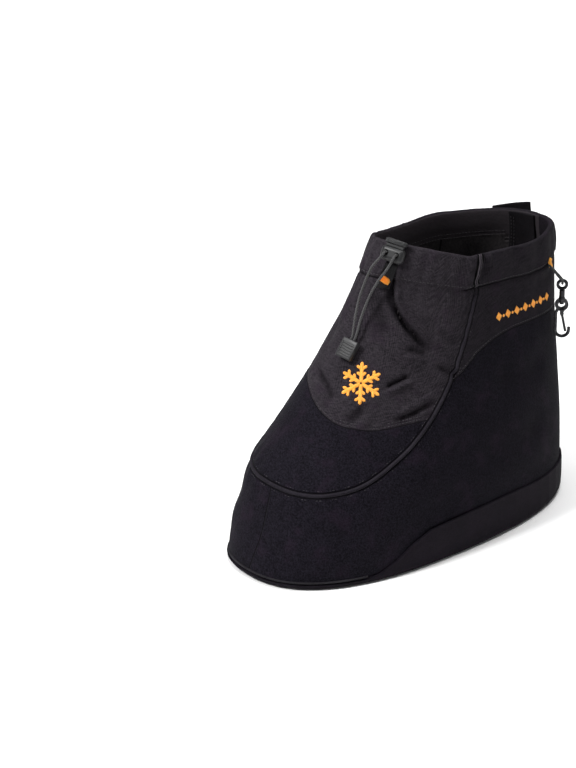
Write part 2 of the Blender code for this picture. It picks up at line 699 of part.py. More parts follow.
def make_clip(loop_material, metal, parts, cutters):
    up = Vector((0.0, 0.0, 1.0))
    side = up.cross(CLIP_DIRECTION)
    upright = (CLIP_DIRECTION, side, up)
    crosswise = (up, CLIP_DIRECTION, side)

    eye_circle = circle_points(0, CLIP_DROP, EYE_RADIUS, 0, 360, 20, True)
    eye = add_object("clip_eye", tube_mesh("clip_eye", eye_circle, EYE_WIRE, 3, True), metal, parts)
    neck_top = CLIP_DROP - EYE_RADIUS
    neck_low = RING_RADIUS - BOSS_HEIGHT / 2 - GAP - RIVET_HEIGHT / 2
    neck = rod_mesh("neck", NECK_DIAMETER, neck_top - neck_low,
                    axes_matrix(clip_point(0, (neck_top + neck_low) / 2), *upright))
    combine(eye, neck, "UNION", cutters)
    barrel_low = RING_RADIUS + BOSS_HEIGHT / 2 + 2 * GAP
    barrel_top = neck_top - EYE_WIRE / 2
    barrel = rod_mesh("barrel", BARREL_DIAMETER, barrel_top - barrel_low,
                      axes_matrix(clip_point(0, (barrel_top + barrel_low) / 2), *upright))
    combine(eye, barrel, "UNION", cutters)
    rivet = rod_mesh("rivet", RIVET_DIAMETER, RIVET_HEIGHT, axes_matrix(clip_point(0, neck_low), *upright))
    combine(eye, rivet, "UNION", cutters)

    disc = rod_mesh("clip_hook", 2 * RING_RADIUS + HOOK_WIRE, HOOK_WIRE,
                    axes_matrix(clip_point(0, 0), *crosswise), 24)
    hook = add_object("clip_hook", disc, metal, parts)
    arc_centre = HOOK_SPINE + HOOK_RADIUS
    spine = [clip_point(0.55 * HOOK_SPINE, -0.75 * RING_RADIUS), clip_point(HOOK_SPINE, -1.7 * RING_RADIUS)]
    spine += [clip_point(HOOK_SPINE, -0.55 * HOOK_DEPTH)]
    spine += circle_points(arc_centre, -HOOK_DEPTH, HOOK_RADIUS, 180, 360, 13)
    spine += [clip_point(arc_centre + HOOK_RADIUS, HOOK_TIP - HOOK_DEPTH)]
    combine(hook, tube_mesh("spine", spine, HOOK_WIRE, 3), "UNION", cutters)
    boss = rod_mesh("boss", BOSS_DIAMETER, BOSS_HEIGHT, axes_matrix(clip_point(0, RING_RADIUS), *upright))
    combine(hook, boss, "UNION", cutters)
    window = rod_mesh("window", 2 * RING_RADIUS - HOOK_WIRE, 3 * BOSS_DIAMETER,
                      axes_matrix(clip_point(0, 0), *crosswise), 22)
    combine(hook, window, "DIFFERENCE", cutters)
    bore = rod_mesh("bore", NECK_DIAMETER + 2 * GAP, 3 * BOSS_HEIGHT,
                    axes_matrix(clip_point(0, RING_RADIUS), *upright))
    combine(hook, bore, "DIFFERENCE", cutters)
    pivot = (GATE_PIVOT_ACROSS, -GATE_PIVOT_DROP)
    cheek_place = GATE_WIRE / 2 + GAP + CHEEK_THICKNESS / 2
    cheek_top = -(RING_RADIUS + HOOK_WIRE / 4)
    saddle_low = pivot[1] + GATE_EYE / 2 + 2 * GAP
    saddle_top = -(RING_RADIUS - HOOK_WIRE / 4)
    saddle_size = (1.2 * GATE_EYE, saddle_top - saddle_low, 2 * cheek_place + 2 * CHEEK_THICKNESS)
    saddle_middle = clip_point(pivot[0], (saddle_top + saddle_low) / 2)
    saddle_matrix = axes_matrix(saddle_middle, CLIP_DIRECTION, up, side)
    combine(hook, box_mesh("saddle", saddle_size, saddle_matrix, CHEEK_THICKNESS / 2, 2), "UNION", cutters)
    for beside in (-cheek_place, cheek_place):
        middle = clip_point(pivot[0], (pivot[1] - GATE_PIN + cheek_top) / 2, beside)
        size = (2 * GATE_PIN, cheek_top - pivot[1] + GATE_PIN, CHEEK_THICKNESS)
        cheek = box_mesh("cheek", size, axes_matrix(middle, CLIP_DIRECTION, up, side))
        combine(hook, cheek, "UNION", cutters)
    pin = rod_mesh("pin", GATE_PIN, 2 * cheek_place + CHEEK_THICKNESS / 2,
                   axes_matrix(clip_point(*pivot), *crosswise))
    combine(hook, pin, "UNION", cutters)

    gate_eye = rod_mesh("clip_gate", GATE_EYE, GATE_WIRE, axes_matrix(clip_point(*pivot), *crosswise))
    centre = clip_point(*pivot)
    gate_eye.transform(Matrix.Translation(-centre))
    gate = add_object("clip_gate", gate_eye, metal, parts)
    gate.location = centre
    tip_inner = arc_centre + HOOK_RADIUS - HOOK_WIRE / 2 - GAP - GATE_WIRE / 2
    drop = math.sqrt(GATE_LENGTH ** 2 - (tip_inner - pivot[0]) ** 2)
    bar = [clip_point(*pivot), clip_point(tip_inner, pivot[1] - drop)]
    bar[0] = bar[0].lerp(bar[1], 0.35 * GATE_EYE / GATE_LENGTH)
    combine(gate, tube_mesh("bar", bar, GATE_WIRE, 3), "UNION", cutters)
    combine(gate, rod_mesh("pin_hole", GATE_PIN + 2 * GAP, 2 * GATE_WIRE,
                           axes_matrix(clip_point(*pivot), *crosswise)), "DIFFERENCE", cutters)
    make_clip_loop(loop_material, parts)


def nearest_angle(point, height):
    turns = [math.radians(degrees) for degrees in range(90, 181)]
    return min(turns, key=lambda angle: (skin(angle, height).xy - point.xy).length)


def make_clip_loop(material, parts):
    """Cord loop sewn at the casing's lower seam, through the clip's eye."""
    wire = clip_point(0.0, CLIP_DROP + EYE_RADIUS)
    guess = rim_height(math.radians(135)) - CASING_HEIGHT
    angle = nearest_angle(wire, guess)
    height = rim_height(angle) - CASING_HEIGHT - LOOP_CORD
    top = off_skin(angle, height, GAP + LOOP_CORD / 2)
    side = Vector((0.0, 0.0, 1.0)).cross(CLIP_DIRECTION)
    fall = (wire - top).normalized()
    low_radius = EYE_WIRE / 2 + 2 * GAP + LOOP_CORD / 2
    high_radius = 0.7 * LOOP_CORD
    points = []
    down = Vector((0.0, 0.0, -1.0))
    ends = ((wire, low_radius, down, 0), (top + fall * high_radius, high_radius, fall, 180))
    for centre, radius, way, start in ends:
        for step in range(LOOP_STEPS + 1):
            turn = math.radians(start + 180 * step / LOOP_STEPS)
            points.append(centre + side * radius * math.cos(turn) + way * radius * math.sin(turn))
    add_object("clip_loop", tube_mesh("clip_loop", points, LOOP_CORD, 2, True), material, parts)


def main():
    clear_scene()
    parts = new_collection("winter_overshoe")
    cutters = new_collection("cutters")
    navy = new_material("brushed_cloth", (0.020, 0.019, 0.024), 0.9)
    lining = new_material("lining", (0.022, 0.021, 0.023), 0.9)
    coated = new_material("coated_sole", (0.020, 0.017, 0.017), 0.7)
    tape = new_material("tape", (0.030, 0.029, 0.031), 0.8)
    cord = new_material("cord", (0.050, 0.050, 0.052), 0.8)
    plastic = new_material("grey_plastic", (0.055, 0.055, 0.058), 0.45)
    metal = new_material("black_metal", (0.030, 0.030, 0.032), 0.35, 0.8)
    make_outsole(coated, parts, cutters)
    make_binding(tape, parts)
    make_insole(lining, parts)
    make_upper(navy, parts, cutters)
    make_piping(tape, parts)
    make_back_closure(navy, parts)
    make_tab(tape, parts)
    make_lock(plastic, plastic, parts, cutters)
    make_cords(cord, plastic, parts)
    make_clip(cord, metal, parts, cutters)


main()
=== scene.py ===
# %% [markdown]
# # A winter overshoe, dressed around its fixed frame
# The frame is the measured model: a hollow cloth shell, its sole, a cord lock with two tails and a small
# clip. This lesson gives each of those pieces its real surface. Nothing here moves or resizes the frame.
# %% Load the frame
import math

import bpy
import numpy as np
from mathutils import Matrix, Vector


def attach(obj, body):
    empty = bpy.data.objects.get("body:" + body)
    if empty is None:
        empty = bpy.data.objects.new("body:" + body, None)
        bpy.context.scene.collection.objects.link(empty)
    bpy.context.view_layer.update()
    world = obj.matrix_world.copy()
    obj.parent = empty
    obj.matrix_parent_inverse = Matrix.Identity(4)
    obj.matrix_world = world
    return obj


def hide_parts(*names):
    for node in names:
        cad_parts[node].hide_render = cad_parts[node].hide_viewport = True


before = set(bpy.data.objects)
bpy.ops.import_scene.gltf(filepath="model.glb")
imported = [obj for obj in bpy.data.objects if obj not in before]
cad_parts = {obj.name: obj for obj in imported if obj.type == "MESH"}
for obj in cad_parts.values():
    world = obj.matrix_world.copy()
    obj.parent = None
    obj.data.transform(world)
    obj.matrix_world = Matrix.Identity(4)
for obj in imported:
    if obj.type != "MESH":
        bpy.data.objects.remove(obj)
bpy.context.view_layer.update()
MM = 0.001
GAP = 0.3 * MM
COVER = "cover"

# %% [markdown]
# ## The camera
# A product photo of a shoe is taken from some way off with a long lens, so that the toe doesn't swell.
# The place and the lens below were found by laying the shoe's outline over the photo; a long lens far
# away was chosen over a wide one close by because the sole's far edge would otherwise open too much.
# %% Camera
PHOTO_HEIGHT = 768
SENSOR = 36.0
FOCAL_PIXELS = 3472.6
CAMERA_TURN, CAMERA_TILT = 50.39, 24.63
CAMERA_PLACE = Vector((2.0637, -1.8345, 1.3973))

camera_data = bpy.data.cameras.new("product_camera")
camera_data.sensor_width = SENSOR
camera_data.lens = FOCAL_PIXELS * SENSOR / PHOTO_HEIGHT
camera_data.clip_end = 20.0
camera = bpy.data.objects.new("product_camera", camera_data)
camera.location = CAMERA_PLACE
camera.rotation_euler = (math.radians(90 - CAMERA_TILT), 0.0, math.radians(CAMERA_TURN))
bpy.context.scene.collection.objects.link(camera)
bpy.context.scene.camera = camera
print("lens", round(camera_data.lens, 1), "mm")

# %% [markdown]
# ## Smooth curves through a few values
# Sections of a last, the top edge of a sole and the run of a cord all come from short tables. One helper
# draws a smooth curve through a column of such a table. A spline library would do the same, but this
# one takes each slope from the two neighbours, as a draughtsman's batten does.
# %% Curve through a column


def curve_through(place, places, values):
    places, values = np.asarray(places, float), np.asarray(values, float)
    low = np.maximum(np.arange(len(places)) - 1, 0)
    high = np.minimum(np.arange(len(places)) + 1, len(places) - 1)
    slopes = (values[high] - values[low]) / (places[high] - places[low])
    place = np.clip(place, places[0], places[-1])
    k = np.clip(np.searchsorted(places, place, side="right") - 1, 0, len(places) - 2)
    span = places[k + 1] - places[k]
    u = (place - places[k]) / span
    start = (1 + 2 * u) * (1 - u) ** 2 * values[k] + u * (1 - u) ** 2 * span * slopes[k]
    end = u * u * (3 - 2 * u) * values[k + 1] + u * u * (u - 1) * span * slopes[k + 1]
    return start + end


def columns_of(names, rows):
    return {name: [row[i] for row in rows] for i, name in enumerate(names)}


# %% [markdown]
# ## The last
# A shoe is built over a last. The frame's own sections are repeated here, so that every seam, crease and
# stitch can be put on the cloth in the shoe's own terms: an angle around it from the toe, and a height.
# %% Last
SHOE_LENGTH = 344 * MM
BALL_WIDTH = 169 * MM
COLLAR_FRONT, COLLAR_SIDE, COLLAR_BACK = 270 * MM, 255 * MM, 250 * MM
RIM_POWER = 1.5
CASING_HEIGHT = 29 * MM
CASING_STEP = 1.0 * MM
UPPER_WALL = 3.5 * MM
SOLE_FLOOR = 4.5 * MM
LAST = columns_of(("height", "toe", "heel", "half_width", "widest", "toe_power", "heel_power"), (
    (0.000, 1.000, 1.000, 0.988, -0.105, 2.36, 2.45),
    (0.059, 0.988, 1.009, 1.000, -0.134, 2.42, 2.41),
    (0.159, 0.936, 1.006, 1.006, -0.134, 2.46, 2.37),
    (0.289, 0.846, 0.997, 0.994, -0.076, 2.42, 2.32),
    (0.448, 0.677, 0.988, 0.888, 0.058, 2.22, 2.30),
    (0.619, 0.483, 0.985, 0.740, 0.186, 2.12, 2.30),
    (0.819, 0.276, 0.980, 0.609, 0.273, 2.03, 2.34),
    (1.000, 0.116, 0.948, 0.592, 0.308, 2.02, 2.34),
))

RIM = columns_of(("angle", "share"), (
    (-180, 0.0), (-136, 0.0), (-116, 0.03), (-101, 0.10), (-86, 0.04), (-66, 0.0), (-30, 0.03),
    (0, 0.09), (24, 0.19), (45, 0.215), (59, 0.20), (69, 0.155), (78, 0.085), (85, 0.095),
    (92, 0.085), (102, 0.03), (116, -0.06), (129, -0.065), (141, 0.02), (151, 0.04), (180, 0.0),
))


def last_value(name, height):
    return curve_through(height / COLLAR_FRONT, LAST["height"], LAST[name])


def skin(angle, height):
    """Points on the last; angle in radians, 0 at the toe, a quarter turn at the outer side."""
    angle, height = np.broadcast_arrays(np.asarray(angle, float), np.asarray(height, float))
    half = SHOE_LENGTH / 2
    across, along = np.sin(angle), np.cos(angle)
    widest = last_value("widest", height) * half
    toe_side = along >= 0
    power = np.where(toe_side, last_value("toe_power", height), last_value("heel_power", height))
    toe_reach = -(last_value("toe", height) * half + widest)
    reach = np.where(toe_side, toe_reach, last_value("heel", height) * half - widest)
    x = BALL_WIDTH / 2 * last_value("half_width", height) * np.abs(across) ** (2 / power)
    return np.stack([np.copysign(x, across), widest + reach * np.abs(along) ** (2 / power), height], -1)


def unit(vectors):
    return vectors / np.maximum(np.linalg.norm(vectors, axis=-1, keepdims=True), 1e-12)


def skin_slopes(angle, height):
    """How the skin runs with the angle and with the height, and its outward direction."""
    turn, rise = 0.01, 1.0 * MM
    around = (skin(angle + turn, height) - skin(angle - turn, height)) / (2 * turn)
    upward = (skin(angle, height + rise) - skin(angle, height - rise)) / (2 * rise)
    return around, upward, unit(np.cross(around, upward))


def degrees_of(angle):
    """The angle in degrees, between -180 and 180."""
    return np.degrees(np.arctan2(np.sin(angle), np.cos(angle)))


def rim_height(angle):
    along = np.cos(angle)
    end = np.where(along > 0, COLLAR_FRONT, COLLAR_BACK)
    wave = CASING_HEIGHT * curve_through(degrees_of(angle), RIM["angle"], RIM["share"])
    return COLLAR_SIDE + (end - COLLAR_SIDE) * np.abs(along) ** RIM_POWER + wave


print("rim", rim_height(0.0), rim_height(math.pi / 2), rim_height(math.pi))

# %% [markdown]
# ## Seams as lines on the last
# A seam is a short table of places, each an angle in degrees and a height in millimetres, read off where
# the real seam runs. The same line then places the stitches, the change of cloth and the pull of the
# thread, so that they can't drift apart.
# %% Seam lines
SEAM_STEP, FINE_PLACES = 1.5 * MM, 400


def reach_along(points):
    """Distance run along a line of points, from 0 at its start."""
    return np.concatenate([[0], np.cumsum(np.linalg.norm(np.diff(points, axis=0), axis=1))])


def seam_line(places):
    """A smooth line on the skin through places of (degrees, millimetres): angles, heights, points."""
    angles, heights = np.radians([p[0] for p in places]), np.array([p[1] for p in places]) * MM
    reach = reach_along(skin(angles, heights))
    fine = np.linspace(0, reach[-1], FINE_PLACES)
    fine_angles, fine_heights = curve_through(fine, reach, angles), curve_through(fine, reach, heights)
    length = reach_along(skin(fine_angles, fine_heights))
    even = np.linspace(0, length[-1], max(4, int(length[-1] / SEAM_STEP)))
    angles, heights = np.interp(even, length, fine_angles), np.interp(even, length, fine_heights)
    return angles, heights, skin(angles, heights)


PIPING = columns_of(("share", "angle", "height"), (
    (0.00, 0.0, 0.353), (0.14, 17.2, 0.355), (0.26, 34.4, 0.364), (0.40, 51.6, 0.397),
    (0.53, 64.5, 0.474), (0.61, 70.0, 0.530), (0.70, 75.0, 0.612), (0.79, 79.0, 0.712),
    (0.89, 82.6, 0.838), (1.00, 86.0, 0.985),
))
PIPING_TOP = COLLAR_SIDE - CASING_HEIGHT


def horseshoe(count):
    """Angles and heights of the raised seam, from the inner side round the toe to the outer side."""
    share = np.linspace(-1, 1, count)
    angle = np.radians(curve_through(np.abs(share), PIPING["share"], PIPING["angle"])) * np.sign(share)
    return angle, PIPING_TOP * curve_through(np.abs(share), PIPING["share"], PIPING["height"])


SIDE_RISE = [(85.9, 230.5), (84.3, 235.0), (84.7, 242.0), (85.7, 249.5), (86.6, 257.0)]
QUARTER = [(80, 156), (85.5, 164), (93.5, 177), (104, 182), (118, 181), (141, 178), (160, 177), (180, 177)]
half_turns, half_rises = horseshoe(61)
horseshoe_places = [(-angle, height) for angle, height in reversed(SIDE_RISE)]
horseshoe_places += list(zip(np.degrees(half_turns), half_rises / MM)) + SIDE_RISE
SEAMS = {
    "horseshoe": seam_line(horseshoe_places),
    "arc": seam_line([(-74, 172), (-56, 164), (-38, 158), (-22, 154.5), (-10, 151), (-1.6, 146.5),
                      (6.4, 141.6), (14.6, 137.5), (22, 134), (31.3, 131.5), (43.8, 129.4),
                      (52, 129.6), (60, 130.6), (70, 131)]),
    "quarter": seam_line(QUARTER),
    "quarter_in": seam_line([(-angle, height) for angle, height in QUARTER]),
    "toe_middle": seam_line([(0, 3), (1.5, 20), (2.5, 40), (1.5, 60), (0, 79)]),
}
for seam_name, seam in SEAMS.items():
    print(seam_name, len(seam[0]), "places")

# %% [markdown]
# ## Distance from a line
# Cloth changes, stitch gutters and creases all depend on how far a place is from a line, and on which
# side. The nearest place on the line is found first, then the distance is measured square to it.
# %% Distance from a line
CHUNK = 4000


def beside(points, line):
    """Signed distance of each point from the line, positive on its left seen from outside, and its place
    along the line."""
    path = line[2]
    ways = unit(np.gradient(path, axis=0))
    sides = unit(np.cross(skin_slopes(line[0], line[1])[2], ways))
    reach = reach_along(path)
    distance, along = np.empty(len(points)), np.empty(len(points))
    for start in range(0, len(points), CHUNK):
        part = points[start:start + CHUNK]
        nearest = ((part[:, None, :] - path[None]) ** 2).sum(-1).argmin(1)
        offset = part - path[nearest]
        ahead = np.clip((offset * ways[nearest]).sum(-1), -SEAM_STEP, SEAM_STEP)
        sideways = offset - ahead[:, None] * ways[nearest]
        sign = np.sign((offset * sides[nearest]).sum(-1))
        distance[start:start + CHUNK] = np.linalg.norm(sideways, axis=1) * np.where(sign == 0, 1, sign)
        along[start:start + CHUNK] = reach[nearest] + ahead
    return distance, along


# %% [markdown]
# ## Creases, gathers and slack
# Soft cloth over nothing keeps the folds that packing gave it. Simulation would put them anywhere, so
# the main ones are placed one by one: a trough is a line with a width and a depth, and most have a ridge on
# one side. Slow waves and puckers along the seams are added to them.
# %% Relief of the cloth
CREASES = (
    # places on the skin, then the trough's width and depth, the bank's height (mm) and the bank's side
    ([(20.7, 248), (24.8, 236.5), (29, 228), (35, 220.5), (43.3, 211), (52, 201), (59, 192),
      (67.4, 184.5)], 3.2, 4.6, 4.2, 1),
    ([(8, 240), (14, 230), (21, 220), (28, 209), (35, 198)], 8.0, 2.2, 0.0, -1),
    ([(18.0, 258), (22, 246), (28, 233), (36, 220), (44, 208), (51, 199)], 1.2, 2.0, 1.0, -1),
    ([(90.2, 260), (90.4, 252), (91.2, 241)], 1.7, 3.0, 1.6, 1),
    ([(55, 250), (56.5, 243), (60, 236)], 3.0, 0.9, 0.6, 1),
    ([(103, 256), (106, 247), (111, 239)], 4.0, 1.0, 0.6, 1),
    ([(43.5, 160.5), (50, 164.5), (56.5, 168)], 2.4, 3.0, 2.4, -1),
    ([(49, 189.5), (57, 186), (64, 180.5)], 3.6, 2.4, 2.0, -1),
    ([(-16, 166), (-1, 161), (8, 155), (17, 147.5)], 3.8, 3.0, 2.2, -1),
    ([(36, 148), (33.4, 141), (28, 135)], 4.6, 2.6, 1.4, 1),
    ([(73, 145), (63, 139), (54, 134.5)], 3.0, 2.4, 1.8, -1),
    ([(69, 173), (76, 165.5), (82, 158)], 3.2, 2.0, 1.4, 1),
    ([(66, 200), (73, 193), (80, 184)], 4.5, 1.3, 0.9, 1),
    ([(-2, 226), (-8, 210), (-16, 196)], 8.0, 1.8, 1.0, -1),
    ([(-32, 212), (-24, 196), (-20, 180)], 9.0, 1.8, 1.0, 1),
    ([(2.5, 37), (8.7, 32), (17.2, 27.5)], 3.6, 1.0, 0.5, 1),
    ([(31, 62), (40, 52), (52, 46)], 14.0, 1.2, 0.5, -1),
    ([(88, 235), (89, 243), (90.5, 252)], 3.0, 1.8, 1.4, 1),
    ([(97, 150), (112, 138), (131, 139)], 13.0, 1.7, 0.9, 1),
    ([(95, 92), (112, 84), (132, 88)], 15.0, 1.5, 0.6, -1),
    ([(120, 212), (131, 209), (143, 210)], 6.0, 1.0, 0.6, 1),
    ([(-62, 200), (-80, 188), (-96, 190)], 12.0, 2.2, 1.2, 1),
    ([(-110, 130), (-135, 120), (-160, 126)], 15.0, 1.8, 0.8, -1),
    ([(170, 112), (186, 102), (200, 110)], 14.0, 1.8, 0.8, 1),
    ([(-20, 60), (-40, 52), (-58, 56)], 12.0, 1.0, 0.5, 1),
)
CREASE_LINES = [(seam_line(row[0]), *row[1:]) for row in CREASES]
CREASE_STRENGTH, BANK_PLACE, BANK_WIDTH, BANK_REACH = 1.35, 1.7, 0.9, 2.6
SLACK_DEPTH, FOOT_HEIGHT = 0.45 * MM, 24 * MM
PULLS = {"horseshoe": (17 * MM, 0.55 * MM), "arc": (9 * MM, 0.3 * MM), "quarter": (9 * MM, 0.3 * MM),
         "quarter_in": (9 * MM, 0.3 * MM)}
PUCKER_LENGTH, PUCKER_DRIFT, CALM_WIDTH, PULL_WIDTH = 15 * MM, 31 * MM, 5 * MM, 2.6 * MM
GATHER_DEPTH, GATHER_REACH, GATHER_SPREAD = 0.55 * MM, 22 * MM, 70
PUFF, CASING_WAVE, STEP_WIDTH = 0.9 * MM, 0.5 * MM, 1.4 * MM
CASING_PULL, CASING_PULL_WIDTH = 1.3 * MM, 1.6 * MM
WELT_RISE, WELT_WIDTH, WELT_SIDE = 1.0 * MM, 1.5 * MM, 2.6 * MM
WELT_GROOVE, GROOVE_WIDTH = 0.8 * MM, 0.8 * MM
NOTCH_DEPTH, NOTCH_ANGLE, NOTCH_SPREAD, NOTCH_REACH = 1.6 * MM, 86, 3.2, 16 * MM


def hump(distance, width, power=2):
    """1 on a line, falling off smoothly within a width on both sides."""
    return np.exp(-(np.abs(distance) / width) ** power)


def crease_relief(points, line, width, depth, ridge, side):
    distance, along = beside(points, line)
    share = np.clip(along / reach_along(line[2])[-1], 0, 1)
    nearest = (share * (len(line[2]) - 1)).round().astype(int)
    past = np.linalg.norm(points - line[2][nearest], axis=1)
    fade = np.clip(np.sin(np.pi * np.clip(share, 0.02, 0.98)) * 1.6, 0, 1)
    width = width * MM
    trough = -depth * MM * hump(past, width)
    bank = ridge * MM * hump(distance * side - BANK_PLACE * width, BANK_WIDTH * width)
    bank = bank * hump(np.maximum(past - BANK_REACH * width, 0), width)
    return CREASE_STRENGTH * (trough + bank) * fade


def seam_pull(points):
    """Puckers beside each seam, and the line that its thread draws in."""
    out = np.zeros(len(points))
    for name, (reach, depth) in PULLS.items():
        distance, along = beside(points, SEAMS[name])
        waves = np.sin(2 * np.pi * along / PUCKER_LENGTH + 1.7 * np.sin(along / PUCKER_DRIFT))
        calm = 1 - 0.9 * hump(distance, CALM_WIDTH)
        out += depth * (hump(distance, reach, 1.5) * waves * calm - 0.9 * hump(distance, PULL_WIDTH))
    return out


def casing_relief(angle, height, points):
    """The casing puffs out over its seam, is gathered by the cord and crossed by the side seam's welt."""
    degrees, rim = degrees_of(angle), rim_height(angle)
    below = rim - CASING_HEIGHT - height
    in_casing = np.clip(-below / CASING_HEIGHT, 0, 1)
    arch = np.sin(math.pi * in_casing)
    gather = np.sin(angle * 23 + 1.5 * np.sin(angle * 5)) + 0.7 * np.sin(angle * 37 + 1.0)
    front = 0.35 + 0.65 * hump(degrees, GATHER_SPREAD)
    out = GATHER_DEPTH * gather * front * hump(np.maximum(below, 0), GATHER_REACH)
    out += (CASING_STEP + PUFF * arch) * 0.5 * (1 - np.tanh(below / STEP_WIDTH))
    out += CASING_WAVE * arch * np.sin(angle * 11 + 2.2 * np.sin(angle * 3))
    out -= CASING_PULL * hump(below, CASING_PULL_WIDTH) * (1 - 0.85 * hump(degrees - 52, 26, 4))
    from_seam = np.abs(beside(points, SEAMS["horseshoe"])[0])
    welt = WELT_RISE * hump(from_seam, WELT_WIDTH) - WELT_GROOVE * hump(from_seam - WELT_SIDE, GROOVE_WIDTH)
    notch = hump(degrees - NOTCH_ANGLE, NOTCH_SPREAD) * hump(rim - height, NOTCH_REACH)
    return out + welt * (in_casing > 0) - NOTCH_DEPTH * notch


def relief(angle, height):
    """How far the cloth stands off the last, in metres."""
    turn, rise = np.ravel(angle), np.ravel(height)
    points = skin(turn, rise)
    out = sum(crease_relief(points, line, *sizes) for line, *sizes in CREASE_LINES)
    x, y, z = points.T / MM
    slack = np.sin(x / 19 + 0.4) * np.sin(y / 31 + z / 41 + 1.1) + 0.6 * np.sin(y / 17 - z / 23 + 2.0)
    out = out + SLACK_DEPTH * slack + seam_pull(points) + casing_relief(turn, rise, points)
    return (out * np.clip(rise / FOOT_HEIGHT, 0, 1)).reshape(np.shape(angle))


def cloth(angle, height, out=0.0):
    """Points on the creased cloth, or a given way out of it."""
    _, _, outward = skin_slopes(angle, height)
    return skin(angle, height) + outward * (relief(angle, height) + out)[..., None]


print("creases placed by hand:", len(CREASES))

# %% [markdown]
# ## A sheet that follows a form
# Cloth is cut flat and pulled over the last. Here a flat grid, added as by hand, has its rows laid on
# the form. Values such as the way run over the cloth are kept on it, so weave and nap can follow them.
# %% Grid on a form


def deselect():
    for other in bpy.context.selected_objects:
        other.select_set(False)


def only(piece):
    deselect()
    piece.select_set(True)
    bpy.context.view_layer.objects.active = piece
    return piece


def settle(piece):
    """Apply place, turn and scale, so that the piece's place is in its mesh."""
    only(piece)
    bpy.ops.object.transform_apply(location=True, rotation=True, scale=True)
    return piece


def in_edit(piece, *steps):
    only(piece)
    bpy.ops.object.mode_set(mode="EDIT")
    bpy.ops.mesh.select_all(action="SELECT")
    for step in steps:
        step()
    bpy.ops.object.mode_set(mode="OBJECT")
    return piece


def merge_close():
    bpy.ops.mesh.remove_doubles(threshold=0.01 * MM)


def face_outwards():
    bpy.ops.mesh.normals_make_consistent(inside=False)


def close_ends():
    bpy.ops.mesh.select_all(action="DESELECT")
    bpy.ops.mesh.select_non_manifold(extend=False)
    bpy.ops.mesh.fill_holes(sides=0)
    bpy.ops.mesh.select_all(action="SELECT")


def smooth(piece, angle=40):
    only(piece)
    bpy.ops.object.shade_smooth_by_angle(angle=math.radians(angle))
    return piece


def grid_on(name, rows, values, steps=()):
    """A grid whose rows and columns are laid on the given points; values are kept as attributes."""
    rows = np.asarray(rows)
    count_v, count_u = rows.shape[:2]
    deselect()
    bpy.ops.mesh.primitive_grid_add(x_subdivisions=count_u - 1, y_subdivisions=count_v - 1, size=1.0)
    piece = bpy.context.object
    piece.name = piece.data.name = name
    piece.data.vertices.foreach_set("co", rows.reshape(-1).astype(np.float32))
    for key, field in values.items():
        store = piece.data.attributes.new(key, "FLOAT", "POINT")
        store.data.foreach_set("value", np.asarray(field, np.float32).reshape(-1))
    in_edit(piece, merge_close, *steps)
    smooth(piece)
    return piece


def finish_piece(piece, body, slot, *nodes, materials=()):
    for material in materials:
        piece.data.materials.append(material)
    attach(piece, body)
    if nodes:
        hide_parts(*nodes)
    print(piece.name, len(piece.data.polygons), "faces")
    return piece


# %% [markdown]
# ## Shader maths as plain expressions
# A shader value is wrapped so that it can be added, multiplied and compared like a number. Every other
# node comes from one method, with its settings first and its sockets after.
# %% Finishes


class Wire:
    """One output of a node, which works in sums as a number does."""

    def __init__(self, finish, socket):
        self.finish, self.socket = finish, socket

    def maths(self, operation, *others, swapped=False):
        values = [self, *others]
        if swapped:
            values.reverse()
        return self.finish.node("ShaderNodeMath", dict(enumerate(values)), operation=operation)

    def __add__(self, other):
        return self.maths("ADD", other)

    def __sub__(self, other):
        return self.maths("SUBTRACT", other)

    def __rsub__(self, other):
        return self.maths("SUBTRACT", other, swapped=True)

    def __mul__(self, other):
        return self.maths("MULTIPLY", other)

    def __truediv__(self, other):
        return self.maths("DIVIDE", other)

    def __gt__(self, other):
        return self.maths("GREATER_THAN", other)

    def __lt__(self, other):
        return self.maths("LESS_THAN", other)

    def __abs__(self):
        return self.maths("ABSOLUTE")

    __radd__, __rmul__ = __add__, __mul__

    def sine(self):
        return self.maths("SINE")

    def most(self, other):
        return self.maths("MAXIMUM", other)

    def least(self, other):
        return self.maths("MINIMUM", other)

    def between(self, low, high):
        """0 below low, 1 above high and smooth in between."""
        share = ((self - low) / (high - low)).most(0.0).least(1.0)
        return share * share * (3.0 - 2.0 * share)

    def stripe(self, low, high):
        """1 near zero and 0 beyond high, on both sides."""
        return 1.0 - abs(self).between(low, high)


